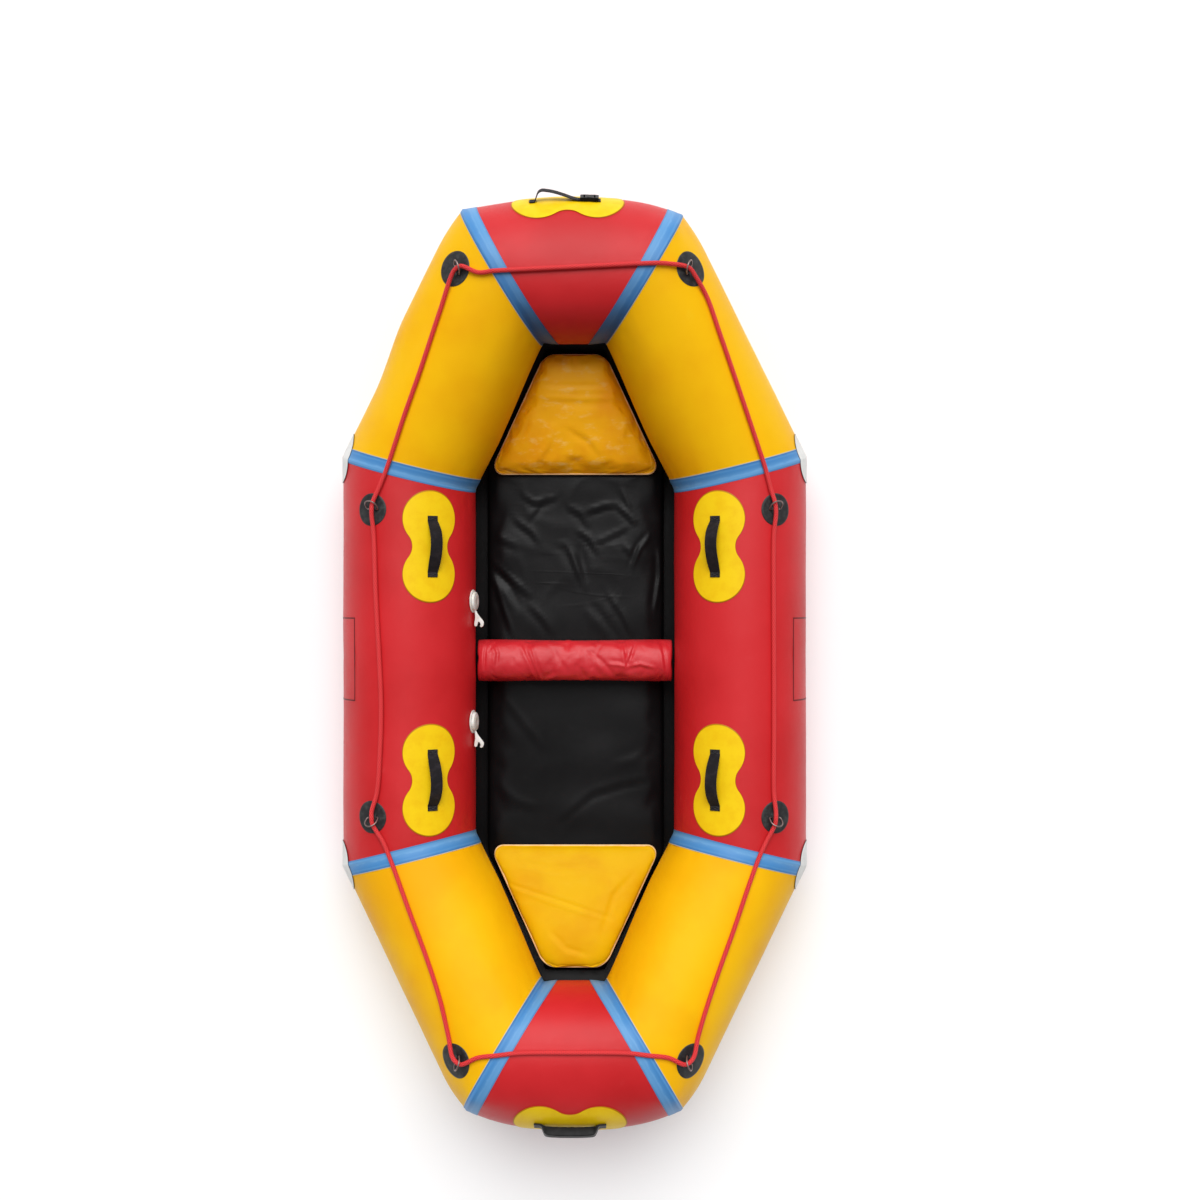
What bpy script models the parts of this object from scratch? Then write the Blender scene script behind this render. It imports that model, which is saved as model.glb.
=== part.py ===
# Inflatable river raft for two: an eight-sided ring of coated-fabric tube with upturned ends,
# a glued floor, an inflatable floor mattress, a thwart, two seat pads and a roped grab line.
# Units are metres, +Y is the bow, +Z is up, and the origin is on the ground under the middle.

import bpy
import bmesh
from math import atan2, ceil, cos, hypot, pi, radians, sin, sqrt, tan
from mathutils import Matrix, Vector

# Hull ring: the tube's axis is an eight-sided loop, given by one bow-left quarter
tube_radius = 0.167
fabric_wall = 0.001
side_axis_x = 0.4205
side_seam_y = 0.479
end_seam_x = 0.169
end_axis_y = 0.9465
end_rise = 0.115
end_bulge = 0.0325
tube_facets = 30
end_tube_rows = 6

# Clearance between pieces that touch
touch_gap = 0.0003

# Seam tapes
tape_thickness = 0.0008
side_tape_width = 0.038
side_tape_shift = 0.011
end_tape_width = 0.056
end_tape_shift = 0.008

# Floor sheet, glued under the tubes
floor_sheet = 0.0012

# Floor mattress
mattress_thickness = 0.078
mattress_half_width = 0.232
mattress_end_y = 0.800
mattress_end_shares = (0.775, 0.875, 0.944, 0.981, 0.996, 1.0)
mattress_tube_gap = 0.012
mattress_crown_power = 4.0

# Thwart
thwart_depth = 0.108
thwart_height = 0.104
thwart_tube_gap = 0.0035
thwart_waist = 0.006

# Seat pads
pad_wide_y = 0.4825
pad_narrow_y = 0.7790
pad_wide_half = 0.2210
pad_narrow_half = 0.0760
pad_wide_corner = 0.036
pad_narrow_corner = 0.026
pad_thickness = 0.058
pad_rim = 0.006
pad_crown_power = 2.6
pad_lift = 0.25

# Round patches that hold the grab line's rings
patch_radius = 0.040
patch_thickness = 0.0012
side_patch_y = 0.3765
side_patch_angle = radians(26.5)
corner_patch_x = 0.2820
corner_patch_y = 0.9460
side_rope_turn = radians(4)
corner_rope_turn = radians(27)
side_keeper_shift = 0.006
corner_keeper_shift = 0.011
keeper_width = 0.020
keeper_foot = 0.013
keeper_skin = 0.0011
keeper_floor = 0.0004
keeper_edge = 0.0002

# D-rings
ring_wire = 0.0020
ring_half_width = 0.0160
ring_straight = 0.0120
ring_corner = 0.0045
ring_lean = radians(46)

# Columns of facets across a patch
slant_share = 1.3
round_columns = 4
eight_columns = 6

# Figure-of-eight handle patches
eight_length = 0.276
eight_lobe = 0.069
eight_waist = 0.0455
eight_thickness = 0.0010
handle_y = 0.286
handle_angle = radians(-24.5)
bow_handle_x = -0.014
stern_handle_x = -0.008
bow_handle_angle = radians(71)
stern_handle_angle = radians(65)

# Webbing handles on the side tubes
strap_width = 0.030
strap_thickness = 0.0020
strap_length = 0.150
strap_span = 0.104
strap_height = 0.029

# Bow strap with its buckle
bow_strap_width = 0.025
bow_strap_height = 0.0240
bow_strap_foot = 0.022
bow_strap_left = 0.088
bow_strap_peak = 0.072
bow_strap_low = 0.028
bow_strap_right = 0.096
buckle_length = 0.045
buckle_width = 0.031
buckle_thickness = 0.0065
buckle_corner = 0.004
buckle_slot = 0.004

# Stern grip
grip_width = 0.026
grip_thickness = 0.0050
grip_height = 0.0215
grip_base = 0.156
grip_top = 0.118
grip_foot = 0.018

# Valves on the left tube
valve_y = 0.152
valve_angle = radians(-78)
valve_bore = 0.0135
valve_neck = 0.0165
valve_neck_depth = 0.0210
valve_collar = 0.0200
valve_collar_top = 0.0075
valve_flange = 0.0292
valve_flange_thickness = 0.0026
valve_flange_edge = 0.0012
valve_lip = 0.0075
valve_lip_depth = 0.0100
valve_lip_thickness = 0.0020
valve_facets = 20
cap_radius = 0.0235
cap_wall = 0.0028
cap_top = 0.0036
cap_lift = 0.024
poppet_disc = 0.0105
poppet_disc_thickness = 0.0028
poppet_stem = 0.0030
poppet_button = 0.0045
poppet_button_height = 0.0020
poppet_travel = 0.0040
tab_thickness = 0.0040
tab_arm = 0.0032

# Bulkheads inside the side tubes
bulkhead_thickness = 0.001

# Grab line
rope_radius = 0.0050
rope_lift = 0.0028
rope_step = 0.17
ring_rise = 0.0060
ring_rise_length = 0.046
side_bend = 0.6
corner_bend = 13.0

# Its route by hand over each stretch between two rings, from the bow's left corner ring clockwise:
# places in plan, across and along the boat
rope_over_bow = (
    (-0.2230, 0.9340), (-0.1865, 0.9343), (-0.1500, 0.9350), (-0.0600, 0.9372), (0.0500, 0.9398),
    (0.1480, 0.9415), (0.1865, 0.9410), (0.2250, 0.9395),
)
rope_bow_right = (
    (0.3180, 0.8850), (0.3521, 0.7950), (0.4050, 0.6500), (0.4500, 0.5250), (0.4670, 0.4760),
    (0.4800, 0.4280),
)
rope_right = ((0.4885, 0.3150), (0.4878, 0.1700), (0.4887, 0.0), (0.4887, -0.1700), (0.4885, -0.3150))
rope_stern_right = (
    (0.4690, -0.4345), (0.4500, -0.4745), (0.4240, -0.5400), (0.3870, -0.6400), (0.3480, -0.7400),
    (0.3140, -0.8350), (0.2980, -0.8880),
)
rope_over_stern = (
    (0.2250, -0.9270), (0.1765, -0.9190), (0.1300, -0.9140), (0.0, -0.9128), (-0.1300, -0.9140),
    (-0.1765, -0.9190), (-0.2250, -0.9270),
)
rope_stern_left = (
    (-0.2980, -0.8850), (-0.3190, -0.8000), (-0.3511, -0.7088), (-0.4000, -0.5900), (-0.4310, -0.5130),
    (-0.4470, -0.4745), (-0.4650, -0.4341),
)
rope_left = (
    (-0.4800, -0.3150), (-0.4720, -0.2100), (-0.4695, -0.1000), (-0.4746, 0.0200), (-0.4830, 0.1700),
    (-0.4885, 0.3150),
)
rope_bow_left = (
    (-0.4720, 0.4351), (-0.4560, 0.4735), (-0.4370, 0.5250), (-0.4120, 0.5950), (-0.3687, 0.7080),
    (-0.3180, 0.8500),
)


def clear_scene():
    for item in list(bpy.data.objects):
        bpy.data.objects.remove(item, do_unlink=True)


def make_collection(name):
    group = bpy.data.collections.new(name)
    bpy.context.scene.collection.children.link(group)
    return group


clear_scene()
raft = make_collection("inflatable_raft")
cutters = make_collection("cutters")


def make_material(name, colour, roughness, metallic=0.0):
    finish = bpy.data.materials.new(name)
    finish.use_nodes = True
    shader = finish.node_tree.nodes["Principled BSDF"]
    shader.inputs["Base Color"].default_value = (*colour, 1.0)
    shader.inputs["Roughness"].default_value = roughness
    shader.inputs["Metallic"].default_value = metallic
    finish.diffuse_color = (*colour, 1.0)
    return finish


red_fabric = make_material("red_fabric", (0.58, 0.02, 0.03), 0.42)
yellow_fabric = make_material("yellow_fabric", (0.90, 0.55, 0.01), 0.42)
blue_tape = make_material("blue_tape", (0.06, 0.22, 0.55), 0.40)
black_floor = make_material("black_floor", (0.012, 0.012, 0.014), 0.45)
pad_yellow = make_material("pad_yellow", (0.85, 0.42, 0.01), 0.45)
thwart_red = make_material("thwart_red", (0.60, 0.03, 0.05), 0.35)
patch_rubber = make_material("patch_rubber", (0.015, 0.015, 0.016), 0.55)
webbing = make_material("webbing", (0.014, 0.014, 0.015), 0.75)
buckle_plastic = make_material("buckle_plastic", (0.02, 0.02, 0.02), 0.35)
rope_red = make_material("rope_red", (0.50, 0.015, 0.02), 0.70)
ring_steel = make_material("ring_steel", (0.62, 0.61, 0.60), 0.25, 1.0)
valve_plastic = make_material("valve_plastic", (0.72, 0.72, 0.70), 0.35)


# The ring's frame. A run is one straight stretch of tube: its start, axis, and the two
# directions that its angle turns between, up at zero and outward at a right angle.

class Run:
    def __init__(self, start, axis, up, out):
        self.start = start
        self.axis = axis
        self.up = up
        self.out = out

    def spoke(self, angle):
        return self.up * cos(angle) + self.out * sin(angle)

    def meets(self, corner, normal, angle, radius):
        to_plane = corner - self.start - self.spoke(angle) * radius
        return to_plane.dot(normal) / self.axis.dot(normal)


def mirrored_in(normal, direction):
    return direction - normal * (2 * direction.dot(normal))


side_axis_z = floor_sheet + touch_gap + tube_radius
side_corner = Vector((-side_axis_x, side_seam_y, side_axis_z))
end_corner = Vector((-end_seam_x, end_axis_y, side_axis_z + end_rise))
forward = Vector((0, 1, 0))
across = Vector((1, 0, 0))
upward = Vector((0, 0, 1))
diagonal_axis = (end_corner - side_corner).normalized()
side_plane = (forward + diagonal_axis).normalized()
end_plane = (diagonal_axis + across).normalized()

side_run = Run(Vector((-side_axis_x, 0, side_axis_z)), forward, upward, -across)
diagonal_run = Run(
    side_corner,
    diagonal_axis,
    mirrored_in(side_plane, side_run.up),
    mirrored_in(side_plane, side_run.out),
)
end_run = Run(
    Vector((0, end_axis_y, side_axis_z + end_rise)),
    across,
    mirrored_in(end_plane, diagonal_run.up),
    mirrored_in(end_plane, diagonal_run.out),
)


def end_reach(angle, radius):
    return -end_run.meets(end_corner, end_plane, angle, radius)


def hull_point(run, along, angle, radius):
    spoke = run.spoke(angle)
    point = run.start + run.axis * along + spoke * radius
    if run is end_run:
        fullness = 1 - (along / end_reach(angle, radius)) ** 2
        point += forward * (end_bulge * fullness * max(0.0, spoke.dot(forward)))
    return point


def facet_angles():
    return [2 * pi * step / tube_facets for step in range(tube_facets)]


# A seam tape leaves the floor sheet's glue line bare under the tube
def tape_angles():
    return [angle - pi for angle in facet_angles()[1:]]


# Turning a canonical bow-left shape to its own quarter of the boat

def quarter_sign(name):
    return -1 if name in ("right", "stern") else 1


def to_quarter(point, end, side):
    return Vector((point.x * quarter_sign(side), point.y * quarter_sign(end), point.z))


# Meshes

def link_mesh(name, mesh, finish, group):
    piece = bpy.data.objects.new(name, mesh)
    if finish:
        mesh.materials.append(finish)
    group.objects.link(piece)
    return piece


def finish_bmesh(name, work, finish, group=raft, smooth_angle=radians(32)):
    bmesh.ops.recalc_face_normals(work, faces=work.faces[:])
    mesh = bpy.data.meshes.new(name)
    work.to_mesh(mesh)
    work.free()
    mesh.shade_smooth()
    mesh.set_sharp_from_angle(angle=smooth_angle)
    return link_mesh(name, mesh, finish, group)


def grid_faces(work, rows, wrap):
    columns = len(rows[0])
    last = columns if wrap else columns - 1
    for lower, upper in zip(rows, rows[1:]):
        for column in range(last):
            after = (column + 1) % columns
            work.faces.new((lower[column], lower[after], upper[after], upper[column]))


# A solid between two sheets of points that match row for row: a wall, a patch or a pad
def solid_between(name, inner, outer, finish, wrap=False, group=raft):
    work = bmesh.new()
    low = [[work.verts.new(point) for point in row] for row in inner]
    high = [[work.verts.new(point) for point in row] for row in outer]
    grid_faces(work, low, wrap)
    grid_faces(work, high, wrap)
    grid_faces(work, [low[0], high[0]], wrap)
    grid_faces(work, [low[-1], high[-1]], wrap)
    if not wrap:
        grid_faces(work, [[row[0] for row in low], [row[0] for row in high]], False)
        grid_faces(work, [[row[-1] for row in low], [row[-1] for row in high]], False)
    return finish_bmesh(name, work, finish, group)


def quarter_rows(rows, end, side):
    return [[to_quarter(point, end, side) for point in row] for row in rows]


# A flat outline given thickness on both sides, in a piece's own frame
def prism(name, outline, thickness, frame, finish, group=raft):
    work = bmesh.new()
    face = work.faces.new([work.verts.new((x, -thickness / 2, z)) for x, z in outline])
    grown = bmesh.ops.extrude_face_region(work, geom=[face])
    moved = [item for item in grown["geom"] if isinstance(item, bmesh.types.BMVert)]
    bmesh.ops.translate(work, verts=moved, vec=(0, thickness, 0))
    piece = finish_bmesh(name, work, finish, group)
    piece.matrix_world = frame
    return piece


# A turned piece: its half outline runs from top to bottom down the outer side
def turned(name, outline, frame, finish, closed_ring, group=raft):
    mesh = bpy.data.meshes.new(name)
    edges = [(step, step + 1) for step in range(len(outline) - 1)]
    if closed_ring:
        edges.append((len(outline) - 1, 0))
    mesh.from_pydata([(radius, 0, height) for radius, height in outline], edges, [])
    piece = link_mesh(name, mesh, finish, group)
    screw = piece.modifiers.new("turn", "SCREW")
    screw.steps = valve_facets
    screw.render_steps = valve_facets
    screw.use_merge_vertices = True
    screw.merge_threshold = 1e-5
    piece.matrix_world = frame
    return piece


def round_cutter(name, radius, depth, facets, frame):
    work = bmesh.new()
    bmesh.ops.create_cone(
        work, cap_ends=True, segments=facets, radius1=radius, radius2=radius, depth=depth
    )
    return hide_cutter(finish_bmesh(name, work, None, cutters), frame)


def hide_cutter(piece, frame):
    piece.matrix_world = frame
    piece.hide_render = True
    piece.display_type = "WIRE"
    return piece


def boolean(piece, other, operation):
    change = piece.modifiers.new(operation.lower(), "BOOLEAN")
    change.operation = operation
    change.object = other


def frame_from(origin, x_axis, y_axis, z_axis):
    turn = Matrix((x_axis, y_axis, z_axis)).transposed().to_4x4()
    return Matrix.Translation(origin) @ turn


# Hull tubes: fabric sleeves whose mitred ends stop half a gap short of the seam plane

def mitred_ring(run, corner, normal, angle, radius, sense):
    back = normal * (sense * touch_gap / 2)
    return run.meets(corner + back, normal, angle, radius)


def side_tube_rows(radius):
    reach = [mitred_ring(side_run, side_corner, side_plane, angle, radius, -1) for angle in facet_angles()]
    rows = []
    for sense in (-1, 1):
        row = zip(reach, facet_angles())
        rows.append([hull_point(side_run, sense * along, angle, radius) for along, angle in row])
    return rows


def diagonal_tube_rows(radius):
    rows = []
    for corner, normal, sense in ((side_corner, side_plane, 1), (end_corner, end_plane, -1)):
        row = []
        for angle in facet_angles():
            along = mitred_ring(diagonal_run, corner, normal, angle, radius, sense)
            row.append(hull_point(diagonal_run, along, angle, radius))
        rows.append(row)
    return rows


def end_tube_rows_at(radius):
    rows = []
    for step in range(end_tube_rows + 1):
        share = 2 * step / end_tube_rows - 1
        row = []
        for angle in facet_angles():
            along = -share * mitred_ring(end_run, end_corner, end_plane, angle, radius, 1)
            row.append(hull_point(end_run, along, angle, radius))
        rows.append(row)
    return rows


def hull_tube(name, rows_at, finish, end, side):
    inner = quarter_rows(rows_at(tube_radius - fabric_wall), end, side)
    outer = quarter_rows(rows_at(tube_radius), end, side)
    return solid_between(name, inner, outer, finish, wrap=True)


def build_tubes():
    tubes = {}
    for side in ("left", "right"):
        tubes[side] = hull_tube(f"{side}_side_tube", side_tube_rows, red_fabric, "bow", side)
        for end in ("bow", "stern"):
            hull_tube(f"{end}_{side}_diagonal_tube", diagonal_tube_rows, yellow_fabric, end, side)
    for end in ("bow", "stern"):
        hull_tube(f"{end}_tube", end_tube_rows_at, red_fabric, end, "left")
    return tubes


# Seam tapes: a band that turns over the seam from one run to the next, wider on the run it is shifted to

def tape_rows(before, after, corner, normal, width, shift, radius):
    edge_before = []
    middle = []
    edge_after = []
    for angle in tape_angles():
        seam = before.meets(corner, normal, angle, radius)
        edge_before.append(hull_point(before, seam - width / 2 + shift, angle, radius))
        middle.append(hull_point(before, seam, angle, radius))
        seam = after.meets(corner, normal, angle, radius)
        edge_after.append(hull_point(after, seam + width / 2 + shift, angle, radius))
    return [edge_before, middle, edge_after]


def build_tapes():
    seams = (
        ("side_tape", side_run, diagonal_run, side_corner, side_plane, side_tape_width, side_tape_shift),
        ("end_tape", diagonal_run, end_run, end_corner, end_plane, end_tape_width, end_tape_shift),
    )
    under = tube_radius + touch_gap
    for end in ("bow", "stern"):
        for side in ("left", "right"):
            for label, before, after, corner, normal, width, shift in seams:
                inner = tape_rows(before, after, corner, normal, width, shift, under)
                outer = tape_rows(before, after, corner, normal, width, shift, under + tape_thickness)
                solid_between(
                    f"{end}_{side}_{label}",
                    quarter_rows(inner, end, side),
                    quarter_rows(outer, end, side),
                    blue_tape,
                )


# Bulkheads: the walls at mid-length that split the ring into two air chambers

def build_bulkheads():
    radius = tube_radius - fabric_wall - touch_gap
    for side in ("left", "right"):
        work = bmesh.new()
        rings = []
        for along in (-bulkhead_thickness / 2, bulkhead_thickness / 2):
            ring = [hull_point(side_run, along, angle, radius) for angle in facet_angles()]
            rings.append([work.verts.new(to_quarter(point, "bow", side)) for point in ring])
            work.faces.new(rings[-1])
        grid_faces(work, rings, True)
        finish_bmesh(f"{side}_bulkhead", work, red_fabric)


# Floor: a sheet under the tubes, level in the middle, with ramps that follow the raised ends

ramp_slope = end_rise / (end_axis_y - side_seam_y)
ramp_angle = atan2(ramp_slope, 1)
ramp_depth = hypot((tube_radius + end_bulge) * sin(ramp_angle), tube_radius * cos(ramp_angle)) + touch_gap
ramp_start_y = side_seam_y + (floor_sheet - side_axis_z + ramp_depth / cos(ramp_angle)) / ramp_slope
floor_end_y = end_axis_y + ramp_depth * sin(ramp_angle)
floor_taper_y = side_seam_y + ramp_depth * sin(ramp_angle)


def floor_height(y):
    return floor_sheet + max(0.0, abs(y) - ramp_start_y) * ramp_slope


def floor_half_width(y):
    share = (abs(y) - floor_taper_y) / (floor_end_y - floor_taper_y)
    return side_axis_x + (end_seam_x - side_axis_x) * max(0.0, share)


def build_floor_sheet():
    stations = (-floor_end_y, -floor_taper_y, -ramp_start_y, ramp_start_y, floor_taper_y, floor_end_y)
    top = []
    bottom = []
    for y in stations:
        half = floor_half_width(y)
        top.append([Vector((x, y, floor_height(y))) for x in (-half, 0, half)])
        bottom.append([point - upward * floor_sheet for point in top[-1]])
    solid_between("floor_sheet", bottom, top, black_floor)


# Soft pads: two sheets that swell from a thin rim, on shares of their length and width

def dome(share, power):
    return max(0.0, 1 - abs(share) ** power) ** (1 / power)


def arc_shares(count):
    return [sin(pi * (step / (count - 1) - 0.5)) for step in range(count)]


def tube_inner_x(y, below_axis):
    chord = sqrt(tube_radius ** 2 - below_axis ** 2)
    slant = (end_seam_x - side_axis_x) / (end_axis_y - side_seam_y)
    if abs(y) < side_seam_y:
        return side_axis_x - chord
    axis_x = side_axis_x + (abs(y) - side_seam_y) * slant
    return axis_x - chord * hypot(1, slant)


def mattress_half_at(y):
    near_tube = tube_inner_x(y, tube_radius - mattress_thickness) - mattress_tube_gap
    return min(mattress_half_width, near_tube)


def mattress_shares():
    ramp_share = ramp_start_y / mattress_end_y
    forward_half = (ramp_share / 2, ramp_share) + mattress_end_shares
    return [-share for share in reversed(forward_half)] + [0.0] + list(forward_half)


def build_mattress():
    across_shares = arc_shares(9)
    along_shares = mattress_shares()
    top = []
    bottom = []
    rim = mattress_thickness / 8
    for along_share in along_shares:
        y = along_share * mattress_end_y
        floor_top = floor_height(y) + touch_gap
        middle = floor_top + mattress_thickness / 2
        swell_along = dome(along_share, mattress_crown_power * 3)
        high = []
        low = []
        for share in across_shares:
            swell = swell_along * dome(share, mattress_crown_power)
            half_height = rim / 2 + (mattress_thickness - rim) / 2 * swell
            x = share * mattress_half_at(y)
            high.append(Vector((x, y, middle + half_height)))
            low.append(Vector((x, y, middle - half_height)))
        top.append(high)
        bottom.append(low)
    solid_between("floor_mattress", bottom, top, black_floor)


mattress_top = floor_sheet + touch_gap + mattress_thickness


def build_thwart():
    length = 2 * (side_axis_x - tube_radius - thwart_tube_gap)
    middle = mattress_top + touch_gap + thwart_height / 2
    top = []
    bottom = []
    for along_share in arc_shares(15):
        x = along_share * length / 2
        drawn = thwart_waist * cos(pi * along_share / 2) ** 2
        depth = thwart_depth - drawn
        swell_along = dome(along_share, 9)
        high = []
        low = []
        for share in arc_shares(9):
            half_height = thwart_height / 2 * swell_along * dome(share, 2.2)
            half_height = max(half_height, thwart_height / 40)
            y = share * depth / 2 * (0.86 + 0.14 * swell_along)
            high.append(Vector((x, y, middle + half_height)))
            low.append(Vector((x, y, middle - half_height)))
        top.append(high)
        bottom.append(low)
    solid_between("thwart", bottom, top, thwart_red)


# Seat pads: rounded trapezoids on the mattress's ramps, crowned above and flatter below

def pad_half_at(y):
    share = (y - pad_wide_y) / (pad_narrow_y - pad_wide_y)
    half = pad_wide_half + (pad_narrow_half - pad_wide_half) * share
    from_wide = y - pad_wide_y
    from_narrow = pad_narrow_y - y
    if from_wide < pad_wide_corner:
        half -= pad_wide_corner - sqrt(pad_wide_corner ** 2 - (pad_wide_corner - from_wide) ** 2)
    if from_narrow < pad_narrow_corner:
        half -= pad_narrow_corner - sqrt(pad_narrow_corner ** 2 - (pad_narrow_corner - from_narrow) ** 2)
    return half


def build_seat_pads():
    length = pad_narrow_y - pad_wide_y
    for end in ("bow", "stern"):
        top = []
        bottom = []
        for along_share in arc_shares(13):
            y = pad_wide_y + length * (along_share + 1) / 2
            ramp = ramp_slope * (y - ramp_start_y)
            base = mattress_top + touch_gap + ramp
            half = pad_half_at(y)
            high = []
            low = []
            for share in arc_shares(11):
                swell = dome(along_share, pad_crown_power) * dome(share, pad_crown_power)
                seam = base + pad_thickness * 0.38
                rise = pad_rim / 2 + (pad_thickness * 0.62 - pad_rim / 2) * swell
                drop = pad_rim / 2 + (pad_thickness * 0.38 - pad_rim / 2) * swell
                high.append(Vector((share * half, y, seam + rise)))
                low.append(Vector((share * half, y, seam - drop)))
            top.append(high)
            bottom.append(low)
        solid_between(
            f"{end}_seat_pad", quarter_rows(bottom, end, "left"), quarter_rows(top, end, "left"), pad_yellow
        )


# Spots on the hull, for what is glued on

def spot_over(run, x, y, radius=tube_radius):
    rise = Vector((x, y, 0)) - run.start
    flat = rise - run.axis * rise.dot(run.axis)
    lift = upward - run.axis * upward.dot(run.axis)
    a = lift.dot(lift)
    b = flat.dot(lift)
    c = flat.dot(flat) - radius ** 2
    height = (-b + sqrt(max(0.0, b * b - a * c))) / a
    point = Vector((x, y, height)) - run.start
    return point.dot(run.axis), atan2(point.dot(run.out), point.dot(run.up))


def hull_top(x, y, radius):
    limits = ((side_run, side_corner, side_plane), (diagonal_run, end_corner, end_plane))
    for run, corner, normal in limits:
        along, angle = spot_over(run, -abs(x), abs(y), radius)
        point = hull_point(run, along, angle, radius)
        if (point - corner).dot(normal) <= 0:
            return Vector((x, y, point.z))
    along, angle = spot_over(end_run, -abs(x), abs(y), radius)
    return Vector((x, y, hull_point(end_run, along, angle, radius).z))


# How high a patch's facets must stand to clear the tube, with a share more for slanted ones
def patch_base(widest, columns):
    half_step = slant_share * widest / tube_radius / columns
    return (tube_radius + touch_gap) / cos(half_step)


def wrapped_patch(name, run, along, angle, outline, columns, thickness, finish, end, side):
    base = patch_base(max(half for step, half in outline), columns)
    sheets = []
    for radius in (base, base + thickness):
        rows = []
        for step, half in outline:
            row = []
            for column in range(columns + 1):
                turn = angle + (2 * column / columns - 1) * half / tube_radius
                row.append(hull_point(run, along + step, turn, radius))
            rows.append(row)
        sheets.append(quarter_rows(rows, end, side))
    return solid_between(name, sheets[0], sheets[1], finish)


def disc_outline(radius, count):
    angles = [pi * (step + 0.5) / count for step in range(count)]
    return [(-radius * cos(turn), radius * sin(turn)) for turn in angles]


def eight_outline():
    lobe_at = eight_length / 2 - eight_lobe
    fillet = (lobe_at ** 2 + eight_waist ** 2 - eight_lobe ** 2) / (2 * (eight_lobe - eight_waist))
    fillet_end = lobe_at * fillet / (eight_lobe + fillet)
    half_outline = [(0.0, eight_waist)]
    for share in (0.5, 1.0):
        step = fillet_end * share
        half_outline.append((step, eight_waist + fillet - sqrt(fillet ** 2 - step ** 2)))
    for turn in (radians(108), radians(75), radians(43), radians(14)):
        half_outline.append((lobe_at + eight_lobe * cos(turn), eight_lobe * sin(turn)))
    other_half = [(-step, half) for step, half in reversed(half_outline[1:])]
    return other_half + half_outline


# Rope patches, each with a keeper over the bar of its D-ring

patch_top = patch_base(patch_radius, round_columns) - tube_radius + patch_thickness
bar_height = ring_wire + touch_gap + keeper_floor


def keeper_outline():
    crest = ring_wire + touch_gap + keeper_skin
    points = [(-keeper_foot, -patch_thickness / 2), (-keeper_foot, keeper_edge)]
    for turn in range(0, 181, 30):
        angle = radians(180 - turn)
        points.append((crest * cos(angle), bar_height + crest * sin(angle)))
    points += [(keeper_foot, keeper_edge), (keeper_foot, -patch_thickness / 2)]
    return points


def ring_path():
    points = [(-ring_half_width + ring_corner, 0.0), (ring_half_width - ring_corner, 0.0)]
    for turn in (-60, -30):
        angle = radians(turn)
        points.append((
            ring_half_width - ring_corner + ring_corner * cos(angle),
            ring_corner + ring_corner * sin(angle),
        ))
    for turn in range(0, 181, 30):
        angle = radians(turn)
        points.append((ring_half_width * cos(angle), ring_straight + ring_half_width * sin(angle)))
    for turn in (210, 240):
        angle = radians(turn)
        points.append((
            -ring_half_width + ring_corner + ring_corner * cos(angle),
            ring_corner + ring_corner * sin(angle),
        ))
    return points


def wire_object(name, points, radius, resolution, finish, frame, cyclic):
    line = bpy.data.curves.new(name, "CURVE")
    line.dimensions = "3D"
    line.bevel_depth = radius
    line.bevel_resolution = resolution
    line.use_fill_caps = not cyclic
    spline = line.splines.new("POLY")
    spline.points.add(len(points) - 1)
    for place, point in zip(spline.points, points):
        place.co = (*point, 1.0)
    spline.use_cyclic_u = cyclic
    line.materials.append(finish)
    piece = bpy.data.objects.new(name, line)
    raft.objects.link(piece)
    piece.matrix_world = frame
    return piece


def rope_patch(name, run, along, angle, shift, rope_turn, end, side):
    patch = wrapped_patch(
        f"{name}_rope_patch", run, along, angle, disc_outline(patch_radius, 7), round_columns,
        patch_thickness, patch_rubber, end, side,
    )
    keeper_angle = angle - shift / tube_radius
    centre = to_quarter(hull_point(run, along, keeper_angle, tube_radius + patch_top), end, side)
    spoke = to_quarter(run.spoke(keeper_angle), end, side)
    sideways = run.spoke(keeper_angle - pi / 2)
    rope_way = to_quarter(run.axis * cos(rope_turn) + sideways * sin(rope_turn), end, side)
    bar_way = rope_way.cross(spoke)
    # Local X runs along the rope, Y along the ring's bar and Z away from the tube
    seat = frame_from(centre, rope_way, -bar_way, spoke)
    keeper = prism(f"{name}_keeper", keeper_outline(), keeper_width, seat, None, cutters)
    hide_cutter(keeper, seat)
    bar_centre = centre + spoke * bar_height
    bore_frame = frame_from(bar_centre, rope_way, spoke, bar_way)
    bore = round_cutter(f"{name}_bar_bore", ring_wire + touch_gap, keeper_width * 2, 12, bore_frame)
    boolean(patch, keeper, "UNION")
    boolean(patch, bore, "DIFFERENCE")
    # The ring leans on the rope: its bar is X, and Y leans between the rope's way and the spoke
    leaning = (rope_way * cos(ring_lean) + spoke * sin(ring_lean)).normalized()
    ring_frame = frame_from(bar_centre, bar_way, leaning, bar_way.cross(leaning))
    flat_points = [(x, y, 0.0) for x, y in ring_path()]
    wire_object(f"{name}_ring", flat_points, ring_wire, 1, ring_steel, ring_frame, True)
    return seat


def build_rope_patches():
    along, angle = spot_over(diagonal_run, -corner_patch_x, corner_patch_y)
    seats = {}
    for end in ("bow", "stern"):
        for side in ("left", "right"):
            spot = f"{end}_{side}_side"
            seats[spot] = rope_patch(
                spot, side_run, side_patch_y, side_patch_angle, side_keeper_shift, side_rope_turn, end, side
            )
            spot = f"{end}_{side}_corner"
            seats[spot] = rope_patch(
                spot, diagonal_run, along, angle, corner_keeper_shift, corner_rope_turn, end, side
            )
    return seats


# Handle patches and webbing handles

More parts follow.
